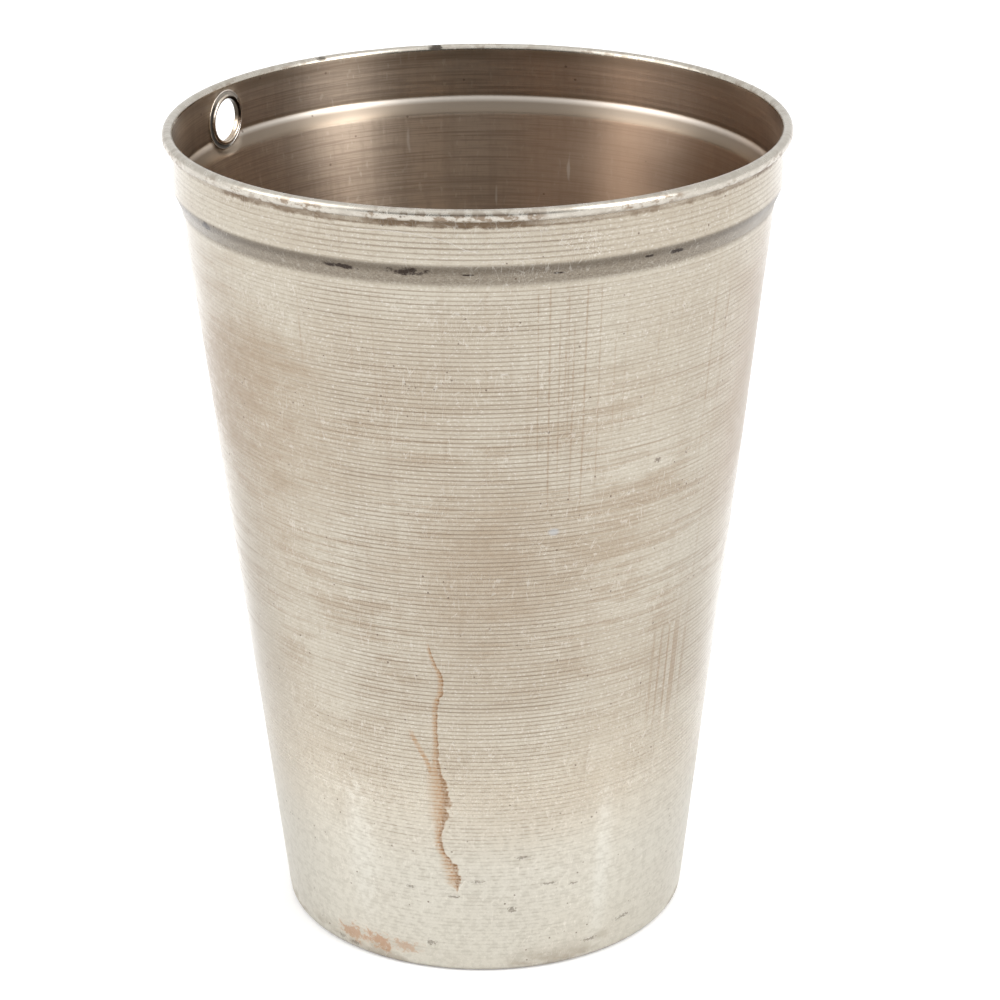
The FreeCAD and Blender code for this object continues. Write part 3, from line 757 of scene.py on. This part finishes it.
    # the run of dried milk on the front
    edge = g.curve(z, [(35, -7.4), (38, -6.9), (43, -6.5), (47, -7.0), (51, -9.0), (59, -10.9), (67, -9.7), (75.6, -8.7), (83.4, -9.2), (91.4, -10.6), (102.6, -10.8), (110.2, -10.8), (118.8, -10.2), (123, -9.2), (129, -9.2), (134.6, -10.6), (143, -12.0)], 20, 150, -20, 0)
    wide = g.curve(z, [(35, 0.3), (38, 1.6), (42, 4.0), (47, 4.2), (51, 2.4), (59, 2.0), (67, 3.6), (75.6, 5.0), (83.4, 4.6), (91, 2.6), (102.6, 1.3), (118.8, 1.4), (129, 1.3), (143, 0.6)], 20, 150, 0, 6)
    into = g.add(g.math("DIVIDE", g.sub(edge, al), wide), g.mul(g.sub(mottle, 0.5), 0.7))
    ends = g.mul(g.step(z, 34.5, 37.0), g.step(z, 144.0, 139.0))
    striped = g.mul(g.lin(valley, 0.0, 1.0, 0.60, 1.0), g.mul(g.step(grain, 0.34, 0.58, 0.50, 1.0), g.step(mottle, 0.34, 0.50, 0.55, 1.0)))
    stain = g.mul(g.mul(g.step(into, -0.10, 0.10), g.step(into, 1.25, 0.35)), g.mul(ends, striped))
    dark_edge = g.mul(g.mul(g.step(into, -0.06, 0.08), g.step(into, 0.42, 0.16)), g.mul(ends, striped))
    side = g.curve(z, [(84, -12.4), (92, -13.6), (99, -15.6), (105, -17.2)], 80, 110, -20, -10)
    branch = g.mul(g.step(g.math("ABSOLUTE", g.sub(al, side)), 1.0, 0.2), g.mul(g.step(z, 84.0, 90.0), g.step(z, 107.0, 102.0)))
    stain = g.math("MAXIMUM", stain, g.mul(branch, g.mul(striped, 0.95)))
    base = g.mix(stain, base, (0.40, 0.225, 0.105))
    base = g.mix(g.mul(dark_edge, 0.85), base, (0.20, 0.11, 0.055))
    run = g.math("MAXIMUM", stain, dark_edge)

    # dirt and painted shade below the bead and on the shoulder
    under_bead_dirt_and_shade = g.step(g.add(z, g.mul(g.sub(mottle, 0.5), 3.2)), 302.6, 304.1)
    under_n = g.step(cloud2, 0.40, 0.60, 0.35, 1.0)
    under_bead_dirt_and_shade = g.mul(under_bead_dirt_and_shade, under_n)
    bead = g.math("MAXIMUM", g.step(g.radius, 111.55, 111.75), g.step(z, 308.4, 308.7))
    # painted shade: the bead's lower half darker, broken by mottle
    bead_underside_shade = g.mul(g.step(z, 307.4, 306.2), g.lin(mottle, 0.4, 0.6, 0.3, 1.0))
    under_bead_dirt_and_shade = g.mul(g.mixf(bead, under_bead_dirt_and_shade, bead_underside_shade), g.step(z, 308.4, 307.6))
    base = g.mix(g.mul(under_bead_dirt_and_shade, 0.85), base, (0.14, 0.085, 0.045))
    # painted shade: a darker band across the shoulder, darker still in its top half
    shoulder_shade = g.mul(g.step(z, 280.6, 283.4), g.step(z, 290.6, 288.6))
    base = g.mix(g.mul(shoulder_shade, g.lin(grain, 0.3, 0.65, 0.95, 0.72)), base, (0.215, 0.18, 0.14))
    shoulder_upper_shade = g.mul(g.step(z, 285.4, 288.2), g.step(z, 290.6, 289.4))
    base = g.mix(g.mul(shoulder_upper_shade, 0.55), base, (0.10, 0.08, 0.06))
    base = g.mix(g.mul(bead, 0.6), base, (0.70, 0.665, 0.60))
    worn = g.mul(bead, g.step(mottle, 0.40, 0.62))
    base = g.mix(g.mul(worn, 0.28), base, (0.42, 0.375, 0.31))
    on_bead = g.mul(g.mul(bead, g.step(z, 309.6, 308.2, 0.25, 1.0)), g.mul(g.step(mottle, 0.47, 0.57), g.step(cloud2, 0.43, 0.53)))
    base = g.mix(g.mul(on_bead, 0.72), base, (0.23, 0.15, 0.09))
    knocks = g.math("MAXIMUM", g.patch(-171.4, 309.2, 1.9, 1.3, 0.5, mottle, 0.9), g.mul(g.patch(-147.0, 309.2, 1.2, 1.3, 0.5, mottle, 0.9), 0.8))
    base = g.mix(g.mul(g.mul(knocks, bead), 0.9), base, (0.05, 0.038, 0.028))
    dashes = None
    for a0, z0, aw, zw in ((-59.1, 288.0, 2.4, 1.5), (-24.5, 287.3, 3.4, 1.3), (-12.9, 287.6, 4.8, 1.7), (31.6, 287.6, 1.0, 0.5), (37.4, 287.2, 2.0, 1.0), (14.0, 286.0, 1.5, 0.5), (-2.0, 286.6, 1.6, 0.4)):
        d = g.patch(a0, z0, aw, zw, 0.5, mottle, 1.3)
        dashes = d if dashes is None else g.math("MAXIMUM", dashes, d)
    base = g.mix(g.mul(dashes, 0.95), base, (0.035, 0.025, 0.02))

    # foot: dirt and scuffs at the bottom edge
    foot = g.mul(g.step(z, 12.0, 1.0), g.step(cloud2, 0.50, 0.64))
    foot_brown = at_most(g, g.mul(foot, 0.45), g.mul(g.patch(33.6, 8.2, 4.0, 3.0, 0.8, mottle, 1.2), 0.35))
    base = g.mix(foot_brown, base, (0.26, 0.205, 0.15))
    rust = at_most(g, g.mul(g.patch(-40.0, 7.5, 6.5, 5.0, 0.7, mottle, 1.6), 0.75), g.mul(g.patch(-31.0, 8.0, 6.0, 5.0, 0.7, mottle, 1.6), 0.8), g.mul(g.patch(-23.0, 8.5, 6.0, 3.0, 0.7, mottle, 1.6), 0.6))
    base = g.mix(rust, base, (0.43, 0.27, 0.17))
    foot_brown = g.math("MAXIMUM", foot_brown, rust)
    marks = None
    for a0, z0, aw, zw in ((-45.0, 3.6, 1.8, 1.0), (-40.0, 3.0, 2.6, 1.1), (-8.5, 34.0, 2.2, 0.5), (7.0, 28.0, 1.6, 1.4), (9.5, 51.0, 2.4, 0.8), (-2.0, 41.0, 2.6, 0.5), (17.0, 38.0, 3.0, 0.6), (24.0, 36.0, 2.0, 0.5), (-15.0, 12.0, 2.0, 1.2), (-20.0, 36.5, 1.4, 0.8), (30.0, 8.0, 3.0, 0.8), (41.0, 13.0, 3.5, 0.9)):
        d = g.patch(a0, z0, aw * 0.8, zw, 0.5, grain, 1.3)
        marks = d if marks is None else g.math("MAXIMUM", marks, d)
    base = g.mix(g.mul(marks, 0.6), base, (0.15, 0.125, 0.10))
    # darker towards the bottom edge
    base = g.mix(g.step(z, 2.4, 0.2, 0.0, 0.5), base, (0.20, 0.17, 0.14))

    # pits and specks
    pits = g.cells(g.object_mm(0.22, 0.22, 0.22), 1.0)
    pit = g.mul(g.step(g.add(pits, g.mul(g.sub(mottle, 0.5), 0.16)), 0.10, 0.055), g.step(cloud2, 0.47, 0.55))
    speck = g.math("MAXIMUM", g.mul(pit, 0.7), g.mul(g.patch(38.4, 207.3, 0.9, 1.2, 0.6, grain, 1.0), 0.7))
    base = g.mix(speck, base, (0.14, 0.10, 0.075))
    base = g.mix(g.mul(g.patch(14.9, 187.0, 1.6, 2.0, 0.7), 0.35), base, (0.50, 0.58, 0.68))

    # scratches catch light from all round
    gate = g.step(cloud2, 0.42, 0.60, 0.20, 1.0)
    h1 = hairs(g, 1.0, 14.0, gate)
    h2 = hairs(g, 5.0, -36.0, gate)
    h3 = hairs(g, 9.0, 66.0, gate, piece=3.0)
    h4 = hairs(g, 13.0, -8.0, gate, across=1.0, along=24.0, piece=9.0)
    long_z = g.curve(al, [(-23, 301.0), (-13.6, 301.3), (-6.6, 299.1), (0.2, 294.7)], -30, 10, 290, 305)
    long_s = g.mul(g.step(g.math("ABSOLUTE", g.sub(z, long_z)), 0.22, 0.08), g.mul(g.step(al, -23.5, -21.5), g.step(al, 0.8, -1.2)))
    field = at_most(g, g.patch(18.0, 297.2, 6.5, 6.0, 0.6), g.patch(20.0, 293.0, 3.5, 4.0, 0.6), g.mul(g.patch(4.0, 297.0, 9.0, 7.0, 0.8), 0.6), g.mul(g.patch(12.0, 286.5, 12.0, 2.0, 0.8), 0.5))
    fine_s = g.noise(g.wall_mm(1.15, 0.75, (5.5, 1.3, 2.2)), 1.0, 0.0)
    cluster = g.mul(field, g.step(g.math("ABSOLUTE", g.sub(fine_s, 0.5)), 0.035, 0.010))
    scr = at_most(g, g.mul(h1, 0.48), g.mul(h2, 0.42), g.mul(h3, 0.32), g.mul(h4, 0.45), g.mul(long_s, 0.8), g.mul(cluster, 0.8))
    base = g.mix(g.mul(scr, 0.6), base, (0.90, 0.86, 0.79))

    # painted shade: the wall is made a little darker above the foot
    base = g.mix(g.step(z, 50.0, 130.0, 0.0, 0.16), base, (0.0, 0.0, 0.0))
    g.put(g.bsdf.inputs["Base Color"], base)
    g.bsdf.inputs["Metallic"].default_value = 1.0

    rough = g.add(0.14, g.mul(g.step(mottle, 0.35, 0.75), 0.04))
    rough = g.add(rough, g.mul(brown, 0.20))
    rough = g.add(rough, g.mul(g.step(z, 130.0, 40.0), 0.18))
    rough = g.add(rough, g.mul(at_most(g, run, foot_brown, g.mul(under_bead_dirt_and_shade, 0.8), speck), 0.30))
    rough = g.add(rough, g.mul(scr, 0.34))
    rough = g.add(rough, g.mul(shoulder_shade, 0.12))
    rough = g.add(rough, g.mul(fleck, 0.10))
    rough = g.add(rough, g.mul(bead, 0.13))
    g.put(g.bsdf.inputs["Roughness"], g.math("MINIMUM", rough, 0.85))
    g.bsdf.inputs["Anisotropic"].default_value = 0.35
    g.bsdf.inputs["Anisotropic Rotation"].default_value = 0.25
    tan = g.tree.nodes.new("ShaderNodeTangent")
    tan.direction_type, tan.axis = "RADIAL", "Z"
    g.put(g.bsdf.inputs["Tangent"], tan.outputs[0])
    g.put(g.bsdf.inputs["Normal"], g.bump(g.add(g.mul(brush, 0.6), g.mul(brush2, 0.5)), 1.0, 0.008))
    return g.mat


# ------------------------------------------------------------------ inner finish
def inner_finish():
    g = Graph("aged_aluminium_inside")
    al, z = g.around()
    cloud = g.noise(g.wall_mm(0.020, 0.035, (6.1, 0.7, 1.4)), 1.0, 2.0, 0.55)
    streak = g.noise(g.wall_mm(0.30, 0.016, (2.3, 2.4, 3.5)), 1.0, 2.0, 0.6)
    brush = g.noise(g.wall_mm(0.028, 1.5, (7.3, 1.4, 2.5)), 1.0, 3.0, 0.7)
    dash = g.noise(g.wall_mm(0.60, 0.22, (1.3, 8.4, 2.9)), 1.0, 1.0, 0.6)
    base = g.mix(g.step(cloud, 0.35, 0.65), (0.535, 0.445, 0.36), (0.47, 0.385, 0.305))
    base = g.mix(g.mul(g.step(streak, 0.46, 0.66), 0.38), base, (0.40, 0.33, 0.265))
    base = g.mix(g.mul(g.step(brush, 0.44, 0.62), 0.70), base, (0.33, 0.265, 0.21))
    base = g.mix(g.mul(g.step(dash, 0.56, 0.70), 0.25), base, (0.36, 0.29, 0.23))
    base = g.mix(g.mul(g.step(dash, 0.36, 0.26), 0.22), base, (0.72, 0.66, 0.58))
    # painted reflection: the inside tinted redder round alpha 128 degrees
    red = g.mul(g.step(g.math("ABSOLUTE", g.sub(al, 128.0)), 62.0, 18.0), 0.62)
    base = g.mix(red, base, (0.48, 0.325, 0.23))
    # darker in the corner over the ledge, near the top edge, and low down
    corner = g.mul(g.step(z, 288.6, 290.0), g.step(z, 292.0, 290.4))
    base = g.mix(g.mul(corner, 0.5), base, (0.20, 0.15, 0.10))
    lip = g.mul(g.step(z, 302.5, 306.0), g.step(cloud, 0.36, 0.60, 0.35, 1.0))
    base = g.mix(g.mul(lip, 0.55), base, (0.22, 0.165, 0.115))
    light = at_most(g, g.patch(-139.0, 240.0, 0.4, 5.0, 0.7, dash, 0.5), g.patch(160.0, 262.0, 0.4, 5.0, 0.7, dash, 0.5), g.patch(176.0, 250.0, 0.35, 5.0, 0.7, dash, 0.5), g.patch(-165.0, 274.0, 0.5, 6.0, 0.7, dash, 0.5))
    base = g.mix(g.mul(light, 0.45), base, (0.80, 0.76, 0.70))
    low = g.step(z, 40.0, 4.0)
    base = g.mix(g.mul(low, 0.4), base, (0.34, 0.29, 0.24))
    # painted highlight: the ledge's band made lighter
    ledge = g.mul(g.step(z, 283.2, 286.4), g.step(z, 290.0, 288.8))
    base = g.mix(g.mul(ledge, 0.65), base, (0.84, 0.80, 0.74))
    # painted shade: the ledge's lower half darkened
    base = g.mix(g.mul(g.step(z, 289.0, 286.8, 0.0, 0.90), g.step(z, 282.6, 283.6)), base, (0.25, 0.20, 0.15))
    pits = g.cells(g.wall_mm(0.10, 0.10, (2, 2, 2)), 1.0)
    pit = g.step(pits, 0.060, 0.035)
    base = g.mix(g.mul(pit, 0.6), base, (0.14, 0.10, 0.075))
    g.put(g.bsdf.inputs["Base Color"], base)
    g.bsdf.inputs["Metallic"].default_value = 1.0
    rough = g.add(0.30, g.mul(g.step(cloud, 0.4, 0.7), 0.05))
    rough = g.add(rough, g.mul(low, 0.15))
    rough = g.add(rough, g.mul(ledge, 0.12))
    g.put(g.bsdf.inputs["Roughness"], rough)
    g.bsdf.inputs["Anisotropic"].default_value = 0.75
    g.bsdf.inputs["Anisotropic Rotation"].default_value = 0.25
    tan = g.tree.nodes.new("ShaderNodeTangent")
    tan.direction_type, tan.axis = "RADIAL", "Z"
    g.put(g.bsdf.inputs["Tangent"], tan.outputs[0])
    g.put(g.bsdf.inputs["Normal"], g.bump(g.add(g.mul(brush, 0.8), g.mul(streak, 0.25)), 1.0, 0.016))
    return g.mat


def eyelet_finish(name, washer_with_painted_shadow):
    g = Graph(name)
    n1 = g.noise(g.object_mm(0.25), 1.0, 2.0, 0.6)
    n2 = g.noise(g.object_mm(1.1), 1.0, 2.0, 0.6)
    # distance from the hole's axis, in mm
    sep = g.tree.nodes.new("ShaderNodeSeparateXYZ")
    g.put(sep.inputs[0], g.object_mm(1.0, 1.0, 1.0, (0, 0, -HOLE_Z)))
    r = g.math("SQRT", g.add(g.mul(sep.outputs[0], sep.outputs[0]), g.mul(sep.outputs[2], sep.outputs[2])))
    base = g.mix(g.step(n1, 0.35, 0.65), (0.72, 0.65, 0.56), (0.60, 0.52, 0.43))
    base = g.mix(g.mul(g.step(n2, 0.5, 0.7), 0.35), base, (0.42, 0.33, 0.24))
    if washer_with_painted_shadow:
        # painted shadow and painted highlight: a dark, dull band lies round the ring except on one side, which is
        # painted bright
        side = g.add(g.mul(g.math("DIVIDE", sep.outputs[0], r), 0.966), g.mul(g.math("DIVIDE", sep.outputs[2], r), -0.259))
        part = g.mul(g.step(side, 0.72, 0.30), g.step(g.math("DIVIDE", sep.outputs[2], r), 0.55, 0.95, 1.0, 0.45))
        band = g.mul(g.mul(g.step(r, 8.9, 9.3), g.step(r, 11.2, 10.8)), part)
        base = g.mix(g.mul(g.sub(1.0, part), 0.8), base, (0.88, 0.86, 0.83))
        base = g.mix(g.mul(band, 0.96), base, (0.02, 0.017, 0.014))
        g.put(g.bsdf.inputs["Metallic"], g.sub(1.0, g.mul(band, 0.95)))
    else:
        band = g.mul(g.step(r, 8.6, 8.1), 0.55)
        base = g.mix(band, base, (0.40, 0.29, 0.19))
        # painted reflection: a dark arc on one side of the roll, near the hole
        side = g.add(g.mul(g.math("DIVIDE", sep.outputs[0], r), 0.766), g.mul(g.math("DIVIDE", sep.outputs[2], r), 0.643))
        base = g.mix(g.mul(g.mul(g.step(side, 0.45, 0.80), g.step(r, 9.5, 9.2)), 0.93), base, (0.03, 0.024, 0.018))
    g.put(g.bsdf.inputs["Base Color"], base)
    if not washer_with_painted_shadow:
        g.bsdf.inputs["Metallic"].default_value = 1.0
    rough = g.add(0.12, g.mul(n1, 0.16))
    if washer_with_painted_shadow:
        rough = g.add(rough, g.mul(band, 0.45))
    g.put(g.bsdf.inputs["Roughness"], rough)
    g.put(g.bsdf.inputs["Normal"], g.bump(g.add(g.mul(n1, 0.6), g.mul(n2, 0.4)), 1.0, 0.015))
    return g.mat


def wire_finish():
    g = Graph("steel_wire")
    n1 = g.noise(g.object_mm(0.12), 1.0, 4.0, 0.6)
    n2 = g.noise(g.object_mm(0.8), 1.0, 4.0, 0.6)
    base = g.mix(g.step(n1, 0.35, 0.65), (0.42, 0.40, 0.38), (0.33, 0.29, 0.26))
    base = g.mix(g.mul(g.step(n2, 0.5, 0.7), 0.8), base, (0.20, 0.10, 0.05))
    g.put(g.bsdf.inputs["Base Color"], base)
    g.bsdf.inputs["Metallic"].default_value = 1.0
    g.put(g.bsdf.inputs["Roughness"], g.add(0.38, g.mul(n2, 0.35)))
    g.put(g.bsdf.inputs["Normal"], g.bump(n2, 1.0, 0.04))
    return g.mat


# ------------------------------------------------------------------ pieces
shell = make_piece("pail_body", verts, faces, mats, [outer_finish(), inner_finish()])
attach(shell, "root")
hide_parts("pail_shell")


def ring_piece(name, line, material, segments=112, uneven=None):
    """A closed section (radius, y) turned about the hanging hole's axis."""
    pts, polys = [], []
    m = len(line)
    for s in range(segments):
        a = 2 * math.pi * s / segments
        for j, (r, y) in enumerate(line):
            if uneven is not None:
                r, y = uneven(a, j, r, y)
            pts.append((r * math.cos(a), y, HOLE_Z + r * math.sin(a)))
    for s in range(segments):
        s2 = (s + 1) % segments
        for j in range(m):
            j2 = (j + 1) % m
            polys.append((s * m + j, s2 * m + j, s2 * m + j2, s * m + j2))
    obj = make_piece(name, pts, polys, [0] * len(polys), [material], uv=False)
    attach(obj, "root")
    return obj


def arc_pts(cx, cy, rx, ry, a0, a1, n):
    return [(cx + rx * math.cos(math.radians(a0 + (a1 - a0) * k / n)), cy + ry * math.sin(math.radians(a0 + (a1 - a0) * k / n))) for k in range(n + 1)]


# barrel with its roll on the inside of the pail (low y) and a flat flange outside (high y)
eyelet_line = [(8.02, 110.30), (8.0, 109.75), (8.0, 109.3)]
eyelet_line += arc_pts(8.85, 109.24, 0.83, 0.72, 180, 360, 14)[1:]
eyelet_line += [(9.62, 109.33), (9.45, 109.355), (8.9, 109.355), (8.5, 109.355), (8.41, 109.42), (8.4, 109.6), (8.4, 110.1), (8.4, 110.66), (8.46, 110.725)]
eyelet_line += [(8.8, 110.725), (9.1, 110.73), (9.19, 110.80), (9.2, 110.9), (9.17, 111.0), (9.08, 111.055), (8.9, 111.068), (8.55, 111.066), (8.3, 111.03), (8.12, 110.9), (8.04, 110.65)]


def eyelet_uneven(a, j, r, y):
    # the roll closed a little unevenly when it was set
    if y < 109.32 and r > 8.05:
        k = 0.5 + 0.5 * math.sin(3 * a + 0.7) * math.sin(7 * a + 2.0)
        y = y + 0.06 * k
        r = r - 0.05 * k * (r - 8.0)
    return r, y


eyelet = ring_piece("eyelet", eyelet_line, eyelet_finish("eyelet_metal", False), uneven=eyelet_uneven)
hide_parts("hanging_eyelet")

washer_line = [(8.46, 109.77), (8.46, 109.62), (8.52, 109.55), (8.8, 109.545), (9.5, 109.545), (9.9, 109.56), (10.25, 109.56), (10.45, 109.52)]
washer_line += arc_pts(10.95, 109.58, 0.44, 0.195, 180, 360, 10)
washer_line += [(11.38, 109.68), (11.32, 109.76), (11.1, 109.778), (10.0, 109.778), (9.0, 109.778)]
washer = ring_piece("eyelet_ring", washer_line, eyelet_finish("eyelet_ring_metal", True))
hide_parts("eyelet_washer")

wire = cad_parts["rim_wire"]
wire_mat = wire_finish()
if len(wire.material_slots):
    for s in wire.material_slots:
        s.material = wire_mat
else:
    wire.data.materials.append(wire_mat)
for p in wire.data.polygons:
    p.use_smooth = True

# ------------------------------------------------------------------ floor, light and camera
TURN = Matrix.Rotation(PHOTO_TURN, 4, "Z")


def plain(name, color, rough=0.9):
    g = Graph(name)
    n = g.noise(g.object_mm(0.02), 1.0, 3.0, 0.5)
    g.put(g.bsdf.inputs["Base Color"], g.mix(g.mul(n, 0.02), color, tuple(c * 0.97 for c in color)))
    g.bsdf.inputs["Roughness"].default_value = rough
    g.bsdf.inputs["Specular IOR Level"].default_value = 0.2
    g.bsdf.inputs["Emission Color"].default_value = (1.0, 1.0, 1.0, 1.0)
    g.bsdf.inputs["Emission Strength"].default_value = 0.12
    return g.mat


def sheet_of(name, corners, material):
    mesh = bpy.data.meshes.new(name)
    mesh.from_pydata([Vector(c) for c in corners], [], [tuple(range(len(corners)))])
    mesh.materials.append(material)
    obj = bpy.data.objects.new(name, mesh)
    scene.collection.objects.link(obj)
    obj.matrix_world = TURN
    return obj


F = 5.0
floor = sheet_of("floor", [(-F, -F, 0), (F, -F, 0), (F, F, 0), (-F, F, 0)], plain("floor_white", (0.93, 0.93, 0.935)))

# the room: pale all round, dim in front, with a bright window front right and a softer one front left
world = bpy.data.worlds.new("soft_room")
scene.world = world
world.use_nodes = True


class WorldGraph(Graph):
    def __init__(self, tree):
        self.tree = tree
        tree.nodes.clear()


w = WorldGraph(world.node_tree)
wo = w.tree.nodes.new("ShaderNodeOutputWorld")
bg = w.tree.nodes.new("ShaderNodeBackground")
w.tree.links.new(bg.outputs[0], wo.inputs["Surface"])
turn = w.tree.nodes.new("ShaderNodeVectorRotate")
turn.rotation_type = "Z_AXIS"
turn.inputs["Angle"].default_value = -PHOTO_TURN
w.put(turn.inputs["Vector"], w.tree.nodes.new("ShaderNodeTexCoord").outputs["Generated"])
sep = w.tree.nodes.new("ShaderNodeSeparateXYZ")
w.put(sep.inputs[0], turn.outputs[0])
azim = w.mul(w.math("ARCTAN2", sep.outputs[0], w.mul(sep.outputs[1], -1.0)), 57.2958)
elev = w.mul(w.math("ARCSINE", sep.outputs[2]), 57.2958)
dim = w.mul(w.mul(w.step(azim, -64.0, -26.0), w.step(azim, 50.0, 24.0)), w.step(elev, 28.0, 10.0))
room = w.sub(1.0, w.mul(dim, 0.90))
right = w.mul(w.mul(w.step(azim, 38.0, 54.0), w.step(azim, 76.0, 62.0)), w.mul(w.step(elev, 2.0, 12.0), w.step(elev, 66.0, 50.0)))
left = w.mul(w.mul(w.step(azim, -104.0, -82.0), w.step(azim, -44.0, -66.0)), w.mul(w.step(elev, 2.0, 14.0), w.step(elev, 62.0, 46.0)))
top = w.step(elev, 55.0, 80.0)
level = w.add(w.add(room, w.mul(right, 6.0)), w.add(w.mul(left, 2.8), w.mul(top, 0.3)))
bg.inputs["Color"].default_value = (1.0, 1.0, 1.0, 1)
w.put(bg.inputs["Strength"], level)

cam_data = bpy.data.cameras.new("camera")
cam_data.sensor_width = 36.0
cam_data.lens = 112.80
cam_data.clip_start = 0.05
camera = bpy.data.objects.new("camera", cam_data)
scene.collection.objects.link(camera)
pitch, yaw, roll = 0.3881, 0.0064, -0.0079
fw = Vector((math.sin(yaw) * math.cos(pitch), math.cos(yaw) * math.cos(pitch), -math.sin(pitch)))
rt = Vector((math.cos(yaw), -math.sin(yaw), 0.0))
up = rt.cross(fw)
c, s = math.cos(roll), math.sin(roll)
rt2, up2 = c * rt + s * up, c * up - s * rt
m = Matrix.Identity(4)
for i in range(3):
    m[i][0], m[i][1], m[i][2] = rt2[i], up2[i], -fw[i]
m[0][3], m[1][3], m[2][3] = 0.0, -1.10488, 0.61227
camera.matrix_world = TURN @ m
scene.camera = camera

scene.view_settings.view_transform = "Standard"
scene.view_settings.look = "None"
scene.cycles.max_bounces = 10
scene.cycles.glossy_bounces = 8
scene.cycles.diffuse_bounces = 4
